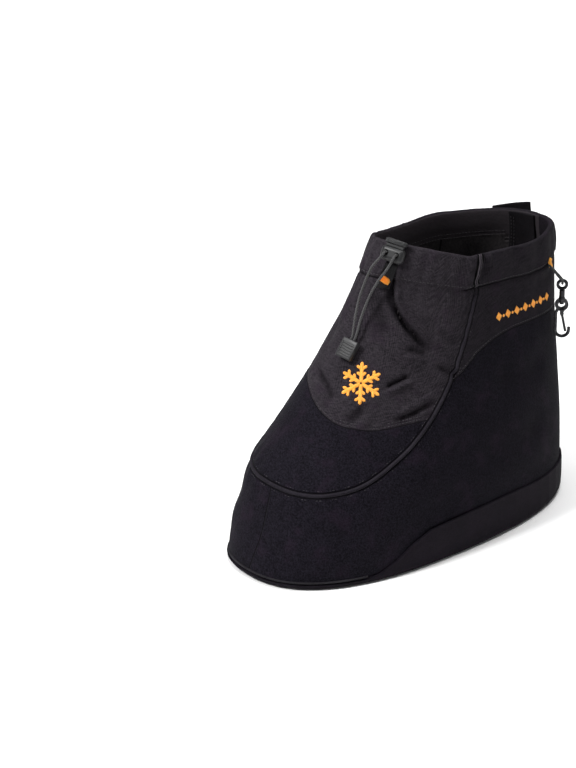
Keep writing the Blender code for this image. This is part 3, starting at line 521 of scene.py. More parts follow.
class Finish:
    """A material, with one method that adds any node to it."""

    def __init__(self, name, **constants):
        self.material = bpy.data.materials.new(name)
        self.material.use_nodes = True
        self.tree = self.material.node_tree
        self.shader = self.tree.nodes["Principled BSDF"]
        for key, value in constants.items():
            self.shader.inputs[key.replace("_", " ")].default_value = value

    def feed(self, socket, value):
        if isinstance(value, Wire):
            self.tree.links.new(value.socket, socket)
        else:
            socket.default_value = (*value, 1.0) if isinstance(value, tuple) else value

    def node(self, kind, inputs=None, output=0, **settings):
        added = self.tree.nodes.new(kind)
        for key, value in settings.items():
            setattr(added, key, value)
        for key, value in (inputs or {}).items():
            self.feed(added.inputs[key], value)
        return Wire(self, added.outputs[output])

    def kept(self, name):
        """A value kept on the mesh."""
        return self.node("ShaderNodeAttribute", output="Fac", attribute_name=name)

    def noise(self, scale, detail=3.0, roughness=0.55, vector=None):
        place = vector or self.node("ShaderNodeTexCoord", output="Object")
        inputs = {"Vector": place, "Scale": scale, "Detail": detail, "Roughness": roughness}
        return self.node("ShaderNodeTexNoise", inputs)

    def mix(self, share, first, second):
        """Colour between two, 0 for the first."""
        return self.node("ShaderNodeMix", {0: share, 6: first, 7: second}, output=2, data_type="RGBA")

    def look(self, colour, roughness=None, relief=None, depth=0.2 * MM, strength=1.0):
        """Feed colour, roughness and a bump of the given depth."""
        self.feed(self.shader.inputs["Base Color"], colour)
        if roughness is not None:
            self.feed(self.shader.inputs["Roughness"], roughness)
        if relief is not None:
            inputs = {"Height": relief, "Distance": depth, "Strength": strength}
            self.feed(self.shader.inputs["Normal"], self.node("ShaderNodeBump", inputs))
        return self.material


def weave(across, along, pitch):
    """Plain weave: threads that pass over and under each other."""
    turn = math.pi / pitch
    return (across * turn).sine() * (along * turn).sine() * 0.5 + 0.5


# %% [markdown]
# ## The cloths
# Two cloths make the shell. A plain-weave canvas, slightly warm, covers the collar and the top of the
# vamp. A brushed cloth with a blue-violet cast makes the toe, the walls and the lower vamp. Where they
# meet is worked out from the distance to each seam, so the join stays sharp on a coarse mesh.
# %% Shell cloth
CANVAS, CANVAS_LIGHT = (0.0054, 0.0047, 0.0061), (0.0430, 0.0366, 0.0440)
BRUSHED, BRUSHED_LIGHT = (0.0010, 0.0009, 0.0018), (0.0126, 0.0109, 0.0164)
# Darker tones of canvas and brushed cloth, painted as shade on the shoe's sides.
CANVAS_SIDE_SHADE, BRUSHED_SIDE_SHADE = (0.0050, 0.0042, 0.0062), (0.0030, 0.0025, 0.0046)
# Next line: a random violet cast of the cloth, then two dark colours painted as shade in grooves, seam
# dents and crease troughs.
VIOLET, GROOVE_SHADE, RIM_GROOVE_SHADE = (0.0170, 0.0100, 0.0185), (0.0035, 0.0030, 0.0040), (0.0010, 0.0010, 0.0012)
# Next line: a painted highlight for the welt's ridge, and painted light for the inside facing of the inner
# wall.
WELT_HIGHLIGHT, LIT_FACING = (0.0900, 0.0800, 0.0900), (0.0900, 0.0780, 0.0850)
# The last colour on the next line is a painted highlight for the lining's puffed edge.
LINING, LINING_LIGHT, LINING_EDGE_HIGHLIGHT = (0.0150, 0.0134, 0.0145), (0.0440, 0.0395, 0.0420), (0.10, 0.09, 0.096)
INNER_SEAM, UNDERLAP_EDGE = -106.0, -146.0
FACING_LINE, UNDERLAP_DROP = 22.9 * MM, 7 * MM


def shell_finish():
    finish = Finish("shell_cloth", Sheen_Weight=0.008, Sheen_Roughness=0.4, Specular_IOR_Level=0.05)
    keys = ("horseshoe", "arc", "quarter", "toe_middle", "below_casing", "inside", "hollow_shade", "degrees")
    from_bead, from_arc, from_quarter, from_toe, below, inside, hollow_shade, degrees = map(finish.kept, keys)
    vamp = from_bead > 0.0
    casing = (below < 0.0).most(inside > 0.5)
    walls, lower, outer = 1.0 - vamp, 1.0 - casing, 1.0 - inside
    canvas = (vamp * (from_arc > 0.0) + walls * (from_quarter > 0.0)).most(casing).least(1.0)

    across, up = finish.kept("across"), finish.kept("up")
    blotch, cloud = finish.noise(26.0, 4.0, 0.6), finish.noise(70.0, 3.0, 0.6)
    speckle, fleck = finish.noise(620.0, 3.0, 0.75), finish.noise(1500.0, 1.0, 0.6)
    threads = weave(across, up, 0.7 * MM)
    slub_place = finish.node("ShaderNodeCombineXYZ", {0: across * 0.25, 1: up, 2: 0.0})
    slub = finish.noise(700.0, 2.0, 0.6, slub_place)
    share = (threads * 0.35 + speckle * 0.9 + slub * 0.8 + blotch * 0.3 - 0.73).between(0.0, 1.0)
    canvas_colour = finish.mix(share, CANVAS, CANVAS_LIGHT)
    share = (speckle * 1.7 + cloud * 0.25 + blotch * 0.2 + fleck * 0.9 - 1.02).between(0.05, 0.95)
    brushed_colour = finish.mix(share, BRUSHED, BRUSHED_LIGHT)
    # Painted shade: both cloths are darkened on the sides, from about 66 to 96 degrees round from the toe,
    # where less light falls.
    painted_side_shade = abs(degrees).between(66.0, 96.0) * 0.62
    canvas_colour = finish.mix(painted_side_shade, canvas_colour, CANVAS_SIDE_SHADE)
    brushed_colour = finish.mix(painted_side_shade * 0.6, brushed_colour, BRUSHED_SIDE_SHADE)
    colour = finish.mix(canvas, brushed_colour, canvas_colour)
    violet = (finish.noise(55.0, 3.0, 0.6) - 0.5).between(0.0, 0.22) * 0.35
    colour = finish.mix(violet, colour, VIOLET)

    # Painted shade: dark stripes in the grooves beside the raised seam and along the arc, quarter, toe and
    # casing seams; the casing's stripe is left off the plain front.
    plain_front = (degrees - 50.0).stripe(22.0, 34.0) * 0.9
    dark = (abs(from_bead) - 2.1 * MM).stripe(0.3 * MM, 1.1 * MM)
    dark = dark.most(from_arc.stripe(0.2 * MM, 0.7 * MM) * vamp * lower)
    dark = dark.most(from_quarter.stripe(0.2 * MM, 0.8 * MM) * walls * lower)
    dark = dark.most(below.stripe(0.3 * MM, 0.9 * MM) * (1.0 - plain_front))
    dark = dark.most(from_toe.stripe(0.2 * MM, 0.8 * MM) * walls) * outer
    colour = finish.mix(dark * 0.85, colour, GROOVE_SHADE)
    # Painted shade: near-black stripes in the grooves either side of the seam's welt, on the outside of the
    # casing.
    rim_groove_shade = (abs(from_bead) - 2.4 * MM).stripe(0.5 * MM, 1.2 * MM) * casing * outer
    colour = finish.mix(rim_groove_shade * 0.95, colour, RIM_GROOVE_SHADE)
    # Painted highlight: light lines along the welt of the side seam where it crosses the casing, outside
    # only.
    welt = (abs(from_bead) - 0.9 * MM).stripe(0.2 * MM, 0.6 * MM) * casing * outer
    colour = finish.mix(welt * 0.6, colour, WELT_HIGHLIGHT)
    # Painted shade: the outer cloth is darkened where it lies sunk in creases and seam pulls, the deeper
    # the darker.
    colour = finish.mix(hollow_shade.between(0.1, 0.9) * 0.6, colour, GROOVE_SHADE)
    # Painted light: the facing on the inside of the inner side's wall is lightened where the lamps light
    # it.
    lit_far_facing = inside.between(0.85, 1.0) * (degrees < -40.0) * 0.3
    colour = finish.mix(lit_far_facing, colour, LIT_FACING)

    height = (threads * 0.35 + slub * 0.7 + speckle * 0.5) * canvas
    height = height + (speckle * 1.1 + fleck * 0.5) * (1.0 - canvas) - dark * 2.2
    return finish.look(colour, cloud * 0.12 + 0.78, height, 0.4 * MM, 0.9)


def lining_finish():
    finish = Finish("lining", Sheen_Weight=0.01, Specular_IOR_Level=0.04)
    deep, degrees = finish.kept("deep"), finish.kept("degrees")
    nap = finish.noise(500.0, 3.0, 0.7) * 0.6 + finish.noise(45.0) * 0.5
    colour = finish.mix(nap.between(0.3, 0.8), LINING, LINING_LIGHT)
    # Painted shade: the lining's stitched seam and the stitched line below the facing are darkened in their
    # dents.
    seam = (degrees - INNER_SEAM).stripe(0.15, 0.7)
    from_line = abs(deep - ((degrees < UNDERLAP_EDGE) * UNDERLAP_DROP + FACING_LINE))
    colour = finish.mix(seam.most(from_line.stripe(0.3 * MM, 0.8 * MM)) * 0.9, colour, GROOVE_SHADE)
    # Painted highlight: light stripes on the puffed lining either side of the stitched line.
    lit = (from_line - 1.7 * MM).stripe(0.2 * MM, 0.7 * MM) * 0.5
    colour = finish.mix(lit, colour, LINING_EDGE_HIGHLIGHT)
    return finish.look(colour, 0.9, nap, 0.5 * MM, 0.7)


shell_cloth, lining_cloth = shell_finish(), lining_finish()
print("cloths:", shell_cloth.name, lining_cloth.name)

# %% [markdown]
# ## The upper
# One hollow shell, sewn from vamp, quarters and collar. It is one closed grid laid on the last with its
# creases: up outside, over the rounded rim and down inside, where the faces below the facing are lining.
# Each vertex keeps its distance to the seams, which the finish reads.
# %% Upper
AROUND_STEPS, OUTER_STEPS, RIM_STEPS, INNER_STEPS = 300, 150, 10, 66
FACING_DEPTH, RIM_ROUND, TIGHT = 22 * MM, 1.0 * MM, 1.2 * MM
SEAM_DENT, SEAM_SPREAD, LINE_WIDTH = 0.8 * MM, 1.4, 1.5 * MM
FACING_PUFF, LINING_SLACK, HOLLOW_SHADE_DEPTH = 0.5 * MM, 0.3 * MM, 5 * MM
QUARTER_START, FAR_OFF = math.radians(70), -20 * MM


def lining_relief(angle, height):
    """How far the lining stands out towards the foot's room: stitched lines and a little slack."""
    degrees, deep = degrees_of(angle), rim_height(angle) - height
    line = FACING_DEPTH + UNDERLAP_DROP * (0.5 + 0.5 * np.tanh((UNDERLAP_EDGE - degrees) / 1.5))
    seam = hump(degrees - INNER_SEAM, SEAM_SPREAD) * (deep > FACING_DEPTH)
    out = -SEAM_DENT * (hump(deep - line, LINE_WIDTH) + seam)
    puff = np.sin(math.pi * np.clip(deep / FACING_DEPTH, 0, 1))
    return out + FACING_PUFF * puff + LINING_SLACK * np.sin(degrees / 6) * np.sin(height / (13 * MM))


def upper_sheet():
    """Angles, heights and inner share of the closed sheet: up outside, over the rim and down inside."""
    angle = np.linspace(-math.pi, math.pi, AROUND_STEPS + 1)[None]
    foot, rim, half = SOLE_FLOOR + GAP, rim_height(angle), UPPER_WALL / 2
    rise = np.linspace(0, 1, OUTER_STEPS)[:, None]
    turn = np.linspace(0, math.pi, RIM_STEPS + 2)[1:-1, None]
    fall = np.linspace(1, 0, INNER_STEPS)[:, None]
    height = np.concatenate([foot + rise * (rim - half - foot), rim - half + half * np.sin(turn),
                             foot + fall * (rim - half - foot)])
    inside = np.concatenate([0 * rise, (1 - np.cos(turn)) / 2, 0 * fall + 1])
    return np.broadcast_to(angle, height.shape), height, np.broadcast_to(inside, height.shape)


upper_angle, upper_height, inside = upper_sheet()
flat_points = skin(upper_angle, upper_height).reshape(-1, 3)
creased = relief(upper_angle, upper_height)
pushed_in = np.minimum(creased + TIGHT, 0)
lining_offsets = pushed_in - UPPER_WALL - lining_relief(upper_angle, upper_height)
offsets = creased * (1 - inside) + lining_offsets * inside
outward = skin_slopes(upper_angle, upper_height)[2]
upper_points = skin(upper_angle, upper_height) + outward * offsets[..., None]

from_seam = {key: beside(flat_points, seam)[0] for key, seam in SEAMS.items()}
from_quarter = np.where(np.sin(upper_angle).ravel() > 0, from_seam["quarter"], -from_seam["quarter_in"])
ring_steps = np.linalg.norm(np.diff(flat_points.reshape(upper_points.shape), axis=1), axis=2)
column_steps = np.linalg.norm(np.diff(upper_points, axis=0), axis=2)
values = {
    "horseshoe": from_seam["horseshoe"], "arc": from_seam["arc"], "toe_middle": from_seam["toe_middle"],
    "quarter": np.where(np.abs(upper_angle).ravel() > QUARTER_START, from_quarter, FAR_OFF),
    "across": np.concatenate([0 * ring_steps[:, :1], np.cumsum(ring_steps, axis=1)], axis=1),
    "up": np.concatenate([0 * column_steps[:1], np.cumsum(column_steps, axis=0)], axis=0),
    "below_casing": rim_height(upper_angle) - CASING_HEIGHT - upper_height, "inside": inside,
    # Painted shade: how far the outer cloth is sunk in from the last, full at 5 mm; the finish darkens it
    # there.
    "hollow_shade": np.clip(-offsets / HOLLOW_SHADE_DEPTH, 0, 1) * (1 - inside),
    "deep": rim_height(upper_angle) - upper_height, "degrees": np.degrees(upper_angle),
}


def closed(field):
    """The rows of the sheet with the first one repeated at the end."""
    return np.concatenate([field, field[:1]])


def vertex_values(piece, key):
    found = np.empty(len(piece.data.vertices), np.float32)
    piece.data.attributes[key].data.foreach_get("value", found)
    return found


closed_values = {key: closed(np.reshape(field, upper_angle.shape)) for key, field in values.items()}
upper = grid_on("upper_cloth", closed(upper_points), closed_values)
is_lining = (vertex_values(upper, "inside") > 0.9) & (vertex_values(upper, "deep") > FACING_DEPTH)
lined = [int(all(is_lining[v] for v in face.vertices)) for face in upper.data.polygons]
for cloth_finish in (shell_cloth, lining_cloth):
    upper.data.materials.append(cloth_finish)
upper.data.polygons.foreach_set("material_index", lined)
in_edit(upper, face_outwards)
finish_piece(upper, COVER, "shell_cloth", "upper")

# %% [markdown]
# ## Beads, pads and tubes
# Raised seams are beads with a half-round section, flaps are pads with rounded edges and wires are
# tubes. Each is again a grid whose rows are the piece's sections, closed at its ends.
# %% Beads, pads and tubes


def line_on(angles, heights, out=0.0, base=cloth):
    """A line laid on the cloth: its points and the ways ahead, across and outwards there."""
    points, outward = base(angles, heights, out), skin_slopes(angles, heights)[2]
    ahead = unit(np.gradient(points, axis=0))
    return points, ahead, unit(np.cross(outward, ahead)), outward


def swept(name, points, across, other, sideways, up, **fields):
    """A bar whose sections, given sideways and up, stand on a line of points; its ends are closed."""
    rows = points[:, None] + across[:, None] * sideways[..., None] + other[:, None] * up[..., None]
    fields = {key: np.broadcast_to(field, rows.shape[:2]) for key, field in fields.items()}
    return grid_on(name, rows, fields, (close_ends, face_outwards))


def bead(name, angles, heights, width, rise, sink, sides=14):
    points, _, across, outward = line_on(angles, heights)
    turn = np.linspace(0, 2 * math.pi, sides + 1)
    up = np.where(np.sin(turn) > 0, rise, sink) * np.sin(turn)
    return swept(name, points, across, outward, -0.5 * width * np.cos(turn), up)


def edged(length, rounding, count):
    """Places from 0 to length, closer together over the rounding at both ends."""
    near = rounding * np.array([0.0, 0.08, 0.3, 0.65])
    return np.concatenate([near, np.linspace(rounding, length - rounding, count), length - near[::-1]])


PAD_COLUMNS, PAD_ROWS = 26, 44


def pad(name, start, end, low_at, high_at, inner, outer):
    """A flat piece of even thickness with rounded edges, between two angles and two heights."""
    half = 0.5 * (outer - inner)
    middle_angle = math.radians((start + end) / 2)
    arm = float(np.linalg.norm(skin_slopes(middle_angle, low_at(middle_angle))[0]))
    width = abs(math.radians(end - start)) * arm
    place = edged(width, half, PAD_COLUMNS)
    angle = (math.radians(start) + np.sign(end - start) * place / arm)[:, None]
    length = float(high_at(middle_angle) - low_at(middle_angle))
    rise = edged(length, half, PAD_ROWS)
    loop = np.concatenate([rise, rise[::-1][1:]])
    face = np.concatenate([np.ones(len(rise)), -np.ones(len(rise) - 1)])

    def rounded(distance):
        return np.sqrt(np.clip(1 - (1 - np.minimum(distance / half, 1)) ** 2, 0, 1))

    thick = rounded(np.minimum(place, width - place))[:, None] * rounded(np.minimum(loop, length - loop))
    height = low_at(angle) + (high_at(angle) - low_at(angle)) * loop[None] / length
    out = 0.5 * (outer + inner) + half * face * thick
    angles = np.broadcast_to(angle, height.shape)
    return grid_on(name, plain_skin(angles, height, out), {}, (face_outwards,))


def plain_skin(angle, height, out=0.0):
    return skin(angle, height) + skin_slopes(angle, height)[2] * np.asarray(out)[..., None]


def tube(name, points, radius, sides=16):
    """A round bar along points, with domed ends."""
    points = np.asarray(points, float)
    first, last = unit(points[0] - points[1]), unit(points[-1] - points[-2])
    dome = np.array([0.35, 0.7, 0.92, 1.0])
    shrink = np.sqrt(1 - np.minimum(dome, 0.999) ** 2)
    radii = radius * np.concatenate([shrink[::-1], np.ones(len(points)), shrink])
    start_points = points[0] + first * radius * dome[::-1][:, None]
    end_points = points[-1] + last * radius * dome[:, None]
    points = np.concatenate([start_points, points, end_points])
    ahead = unit(np.gradient(points, axis=0))
    guide = Vector((0.31, -0.52, 0.79)) if abs(ahead[0][2]) < 0.9 else Vector((1.0, 0.2, 0.0))
    side = Vector(ahead[0]).cross(guide).normalized()
    across = [tuple(side)]
    for before, after in zip(ahead, ahead[1:]):
        side = Vector(before).rotation_difference(Vector(after)) @ side
        side = (side - side.dot(Vector(after)) * Vector(after)).normalized()
        across.append(tuple(side))
    across = np.array(across)
    turn = np.linspace(0, 2 * math.pi, sides + 1)
    sideways, up = radii[:, None] * np.cos(turn), radii[:, None] * np.sin(turn)
    return swept(name, points, across, np.cross(ahead, across), sideways, up,
                 along=reach_along(points)[:, None], turn=turn)


def resampled(at, reach, table, curve=np.interp):
    """Rows of a table, given at each reach, worked out at other places."""
    return np.stack([curve(at, reach, column) for column in table.T], -1)


def route_through(places, spacing):
    places = np.asarray(places, float)
    reach = reach_along(places)
    even = np.linspace(0, reach[-1], max(2, round(reach[-1] / spacing)) + 1)
    return resampled(even, reach, places, curve_through)


def join(first, *others):
    only(first)
    for other in others:
        other.select_set(True)
    bpy.ops.object.join()
    return first


# %% [markdown]
# ## Many small things in one mesh
# A seam has hundreds of stitches. One stitch is added as a primitive; its vertices are then copied
# through a list of places in one array, which is fast and leaves a single piece.
# %% Many small things


def scatter(name, base, matrices):
    """Copies of a small mesh at each 4x4 matrix, joined; its own lengthwise place is kept."""
    mesh = base.data
    corners = np.empty(len(mesh.vertices) * 3, np.float32)
    mesh.vertices.foreach_get("co", corners)
    corners = corners.reshape(-1, 3)
    faces = [tuple(face.vertices) for face in mesh.polygons]
    placed = np.einsum("nij,vj->nvi", matrices[:, :3, :3], corners) + matrices[:, None, :3, 3]
    lengthwise = np.linalg.norm(matrices[:, :3, 0], axis=1)[:, None] * corners[None, :, 0]
    count = len(corners)
    joined = [tuple(v + i * count for v in face) for i in range(len(matrices)) for face in faces]
    data = bpy.data.meshes.new(name)
    data.from_pydata(placed.reshape(-1, 3).tolist(), [], joined)
    store = data.attributes.new("lengthwise", "FLOAT", "POINT")
    store.data.foreach_set("value", lengthwise.reshape(-1).astype(np.float32))
    piece = bpy.data.objects.new(name, data)
    bpy.context.scene.collection.objects.link(piece)
    bpy.data.objects.remove(base, do_unlink=True)
    return smooth(piece, 60)


def placed_matrices(points, ahead, outward, sizes):
    """A 4x4 matrix at each point, scaled by length, width and thickness."""
    across = unit(np.cross(outward, ahead))
    matrices = np.zeros((len(points), 4, 4))
    for k, way in enumerate((unit(np.cross(across, outward)), across, outward)):
        matrices[:, :3, k] = way * sizes[k]
    matrices[:, :3, 3], matrices[:, 3, 3] = points, 1
    return matrices


def capsule():
    """A ball one unit long with blunt ends, as a thread's visible part."""
    deselect()
    bpy.ops.mesh.primitive_uv_sphere_add(segments=8, ring_count=6, radius=0.5)
    return settle(bpy.context.object)


STITCH_SIZES, STITCH_GAP = (2.5 * MM, 0.55 * MM, 0.5 * MM), 0.8 * MM


def stitch_row(line, aside=0.0, out=0.12 * MM, base=cloth):
    """Stitches along a line on the cloth, aside from it by a distance."""
    points, ahead, across, outward = line_on(*line, out, base)
    points = points + across * aside
    reach, pitch = reach_along(points), STITCH_SIZES[0] + STITCH_GAP
    even = np.arange(pitch / 2, reach[-1] - pitch / 2, pitch)
    places, ways, outs = (resampled(even, reach, table) for table in (points, ahead, outward))
    return placed_matrices(places, unit(ways), unit(outs), STITCH_SIZES)


# %% [markdown]
# ## Sole, its edge tape and the insole
# The sole is a coated cloth cup: a flat tread with shallow grooves and a rand that climbs at the heel.
# The frame's solid already has that form, so it keeps its mesh and gets a finish. The coating is drawn
# as fine blunt pebbles with dusty scuffs in random patches.
# %% Sole finish


def sole_finish():
    finish = Finish("sole_cloth", Specular_IOR_Level=0.06)
    blotch = finish.noise(30.0, 4.0, 0.6)
    pebble = finish.noise(700.0, 2.0, 0.5)
    colour = finish.mix((blotch * 0.7 + pebble * 0.4).between(0.3, 0.8), (0.0036, 0.0026, 0.0048),
                        (0.0105, 0.0078, 0.0120))
    return finish.look(colour, blotch * 0.2 + 0.62, pebble, 0.3 * MM, 0.6)


def tape_finish(name, dark, light, roughness=0.75):
    finish = Finish(name, Sheen_Weight=0.01, Specular_IOR_Level=0.06)
    grain = finish.noise(800.0, 2.0, 0.6)
    blotch = finish.noise(50.0)
    colour = finish.mix((grain * 0.5 + blotch * 0.5).between(0.3, 0.75), dark, light)
    return finish.look(colour, roughness, grain, 0.25 * MM, 0.6)


sole_cloth = sole_finish()
edge_tape = tape_finish("edge_tape", (0.012, 0.011, 0.013), (0.026, 0.024, 0.028))
seam_cord = tape_finish("seam_cord", (0.0080, 0.0068, 0.0098), (0.0190, 0.0165, 0.0215))
flap_cloth = tape_finish("flap_cloth", (0.0055, 0.0048, 0.0060), (0.0120, 0.0105, 0.0125), 0.85)
webbing = tape_finish("webbing", (0.0055, 0.0055, 0.0060), (0.0130, 0.0125, 0.0135))


def dress(node, material):
    """Give a piece of the frame its finish."""
    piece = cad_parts[node]
    piece.data.materials.clear()
    piece.data.materials.append(material)
    return piece


dress("outsole", sole_cloth)
dress("insole", lining_cloth)
dress("lock_tab", webbing)
print("sole, tape, insole and tab dressed")

# %% [markdown]
# Round the toe the wall is bound to the sole with a narrow grey tape, only a millimetre or two high. The
# frame's band marks its place; the bead shows the tape's real size and stays inside the band.
# %% Toe tape
RAND = columns_of(("angle", "share"), (
    (0, .14), (60, .14), (66, .20), (72, .36), (78, .62), (84, .88), (93, .98),
    (111, 1.00), (125, .90), (150, .84), (180, .86),
))
RAND_HEIGHT = 38.5 * MM


def rand_height(angle):
    return RAND_HEIGHT * curve_through(np.abs(degrees_of(angle)), RAND["angle"], RAND["share"])


TAPE_END, TAPE_PLACE, TAPE_WIDTH, TAPE_RISE, TAPE_SINK = 62, 1.6 * MM, 2.0 * MM, 1.3 * MM, 0.8 * MM
tape_turns = np.radians(np.linspace(-TAPE_END, TAPE_END, 220))
tape = bead("toe_tape", tape_turns, rand_height(tape_turns) + TAPE_PLACE, TAPE_WIDTH, TAPE_RISE, TAPE_SINK)
finish_piece(tape, COVER, "edge_tape", "sole_binding", materials=(edge_tape,))

# %% [markdown]
# ## The raised horseshoe seam
# Where toe, vamp and quarters meet, a cord is folded into the seam and stands proud. It is a bead on the
# cloth from the inner casing round the toe to the outer one.
# %% Raised seam
BEAD_WIDTH, BEAD_RISE, BEAD_SINK = 3.1 * MM, 1.9 * MM, 1.2 * MM

seam_turns, seam_rises = horseshoe(340)
piping = bead("raised_seam", seam_turns, seam_rises, BEAD_WIDTH, BEAD_RISE, BEAD_SINK)
finish_piece(piping, COVER, "seam_cord", "vamp_piping", materials=(seam_cord,))

# %% [markdown]
# ## Back closure
# The collar is slit at the back of the inner side. A flap lies over the slit outside and an underlap
# inside, both plain padded cloth with a double row of stitches round the edge.
# %% Back flap and underlap
FLAP_FROM, FLAP_TO, FLAP_DEPTH = -138.0, -168.0, 76 * MM
FLAP_RISE_FRONT, FLAP_RISE_BACK = 0.6 * MM, 7.0 * MM
UNDERLAP_FROM, UNDERLAP_TO = -176.0, -149.0
FLAP_THICKNESS, UNDERLAP_THICKNESS = 2.2 * MM, 2.0 * MM


def flap_low(angle):
    return rim_height(angle) - FLAP_DEPTH


def flap_top(angle):
    share = (np.degrees(angle) - FLAP_FROM) / (FLAP_TO - FLAP_FROM)
    return rim_height(angle) + FLAP_RISE_FRONT + share * (FLAP_RISE_BACK - FLAP_RISE_FRONT)


flap_inner = CASING_STEP + GAP
back_flap = pad("flap_outside", FLAP_FROM, FLAP_TO, flap_low, flap_top,
                flap_inner, flap_inner + FLAP_THICKNESS)
finish_piece(back_flap, COVER, "flap_cloth", "back_flap", materials=(flap_cloth,))
under_face = -(UPPER_WALL + GAP)
underlap = pad("flap_inside", UNDERLAP_FROM, UNDERLAP_TO, flap_low,
               lambda angle: rim_height(angle) - RIM_ROUND, under_face - UNDERLAP_THICKNESS, under_face)
finish_piece(underlap, COVER, "lining", "back_underlap", materials=(flap_cloth,))

# %% [markdown]
# ## Stitching
# Rows of single stitches hold the vamp's arc seam, the quarters, the casing and the flaps.
# %% Stitch rows


def thread_finish(name, dark, light, roughness=0.6):
    finish = Finish(name, Sheen_Weight=0.05, Specular_IOR_Level=0.2)
    twist = (finish.kept("lengthwise") * (2 * math.pi / (0.7 * MM))).sine() * 0.5 + 0.5
    shade = finish.noise(400.0)
    colour = finish.mix(shade.between(0.3, 0.7), dark, light)
    return finish.look(colour, roughness, twist, 0.15 * MM, 0.6)


thread = thread_finish("thread", (0.014, 0.0125, 0.0145), (0.040, 0.036, 0.041))
FLAP_FACE = flap_inner + FLAP_THICKNESS + 0.1 * MM
UNDERLAP_FACE = under_face - UNDERLAP_THICKNESS - 0.1 * MM
FACING_FACE = -(UPPER_WALL + 0.3 * MM)
DEGREE_WIDTH = 1.1 * MM
CASING_INSET, UNDERLAP_TOP = 2.2 * MM, 4 * MM
FLAP_INSETS, UNDERLAP_INSETS = (2.4 * MM, 6.0 * MM), (2.0 * MM, 4.6 * MM)
FACING_ASIDE, FACING_START, FACING_END = (-0.9 * MM, 2.7 * MM), UNDERLAP_TO + 3.0, 147.0


def upright(turn, low, high):
    """A line straight up the skin."""
    return np.full(90, turn), np.linspace(float(low), float(high), 90)


round_turns = np.radians(np.linspace(-180.0, 180.0, 700))
casing_line = (round_turns, rim_height(round_turns) - CASING_HEIGHT + CASING_INSET)
arc_line, bead_line = SEAMS["arc"][:2], horseshoe(700)
rows = [stitch_row(line, aside * MM) for line, aside in (
    (arc_line, 2.0), (arc_line, 4.4), (SEAMS["quarter"][:2], 2.0), (SEAMS["quarter_in"][:2], 2.0),
    (casing_line, 0.0), (bead_line, 3.9), (bead_line, -3.9))]
for inset in FLAP_INSETS:
    turns = np.radians(np.linspace(FLAP_FROM - inset / DEGREE_WIDTH, FLAP_TO + inset / DEGREE_WIDTH, 90))
    lines = [(turns, flap_low(turns) + inset)]
    for turn in turns[[0, -1]]:
        lines.append(upright(turn, flap_low(turn) + inset, flap_top(turn) - FLAP_INSETS[0]))
    rows += [stitch_row(line, out=FLAP_FACE, base=plain_skin) for line in lines]
for inset in UNDERLAP_INSETS:
    turn = math.radians(UNDERLAP_TO - inset / DEGREE_WIDTH)
    line = upright(turn, flap_low(turn) + inset, rim_height(turn) - UNDERLAP_TOP)
    rows.append(stitch_row(line, out=UNDERLAP_FACE, base=plain_skin))
turns = np.radians(np.linspace(FACING_START, FACING_END, 700))
for aside in FACING_ASIDE:
    line = (turns, rim_height(turns) - (FACING_DEPTH + aside))
    rows.append(stitch_row(line, out=FACING_FACE, base=plain_skin))
stitches = scatter("stitching", capsule(), np.concatenate(rows))
finish_piece(stitches, COVER, "shell_cloth", materials=(thread,))

# %% [markdown]
# ## Embroidery
# The real boot carries marks in orange satin stitch. Here a plain snowflake stands on the vamp, and a row
# of lozenges and dots on the quarter. Each is made of low rounded ridges laid on the creased cloth.
# %% Places on a patch of cloth


def on_patch(centre_angle, centre_height, right, up):
    """Angles and heights of places given flat, right and up from a centre on the skin."""
    right, up = np.asarray(right, float), np.asarray(up, float)
    around, upward, out = skin_slopes(centre_angle, centre_height)
    across = unit(around)
    rise = np.cross(out, across)
    centre = skin(centre_angle, centre_height)
    angle, height = np.full(right.shape, centre_angle), np.full(right.shape, centre_height)
    for _ in range(8):
        offset = skin(angle, height) - centre
        miss_right, miss_up = right - offset @ across, up - offset @ rise
        slope_around, slope_up, _ = skin_slopes(angle, height)
        a, b, c, d = slope_around @ across, slope_up @ across, slope_around @ rise, slope_up @ rise
        size = a * d - b * c
        angle = angle + (d * miss_right - b * miss_up) / size
        height = height + (a * miss_up - c * miss_right) / size
    return angle, height


def way_at(degrees):
    return np.array([math.cos(math.radians(degrees)), math.sin(math.radians(degrees))])


def ridges(name, centre_angle, centre_height, bars, lift=-0.1 * MM):
    """Satin bars: flat start and end, width and height of each, laid on the cloth as short ridges."""
    pieces = []
    turn = np.linspace(0, 2 * math.pi, 13)
    for start, end, width, rise in bars:
        start, end = np.array(start) * MM, np.array(end) * MM
        length = np.linalg.norm(end - start)
        share = np.linspace(0, 1, max(6, int(length / (0.8 * MM))))[:, None]
        places = start + (end - start) * share
        angle, height = on_patch(centre_angle, centre_height, places[:, 0], places[:, 1])
        points, _, across, outward = line_on(angle, height, lift)
        taper = np.sqrt(np.clip(1 - (2 * np.abs(share - 0.5)) ** 8, 0.02, 1))
        sideways = 0.5 * width * MM * np.cos(turn) * taper
        up = np.where(np.sin(turn) > 0, rise, 0.5) * MM * np.sin(turn) * taper
        pieces.append(swept(name, points, across, outward, sideways, up, along=share * length))
    return join(*pieces)


def satin_finish(name, dark, light):
    finish = Finish(name, Sheen_Weight=0.15, Specular_IOR_Level=0.4)
    threads = (finish.kept("along") * (2 * math.pi / (0.55 * MM))).sine() * 0.5 + 0.5
    shade = threads * 0.6 + finish.noise(300.0) * 0.6
    colour = finish.mix(shade.between(0.2, 0.9), dark, light)
    return finish.look(colour, 0.5, threads, 0.18 * MM, 0.7)


orange_thread = satin_finish("orange_thread", (0.82, 0.25, 0.014), (1.0, 0.47, 0.055))

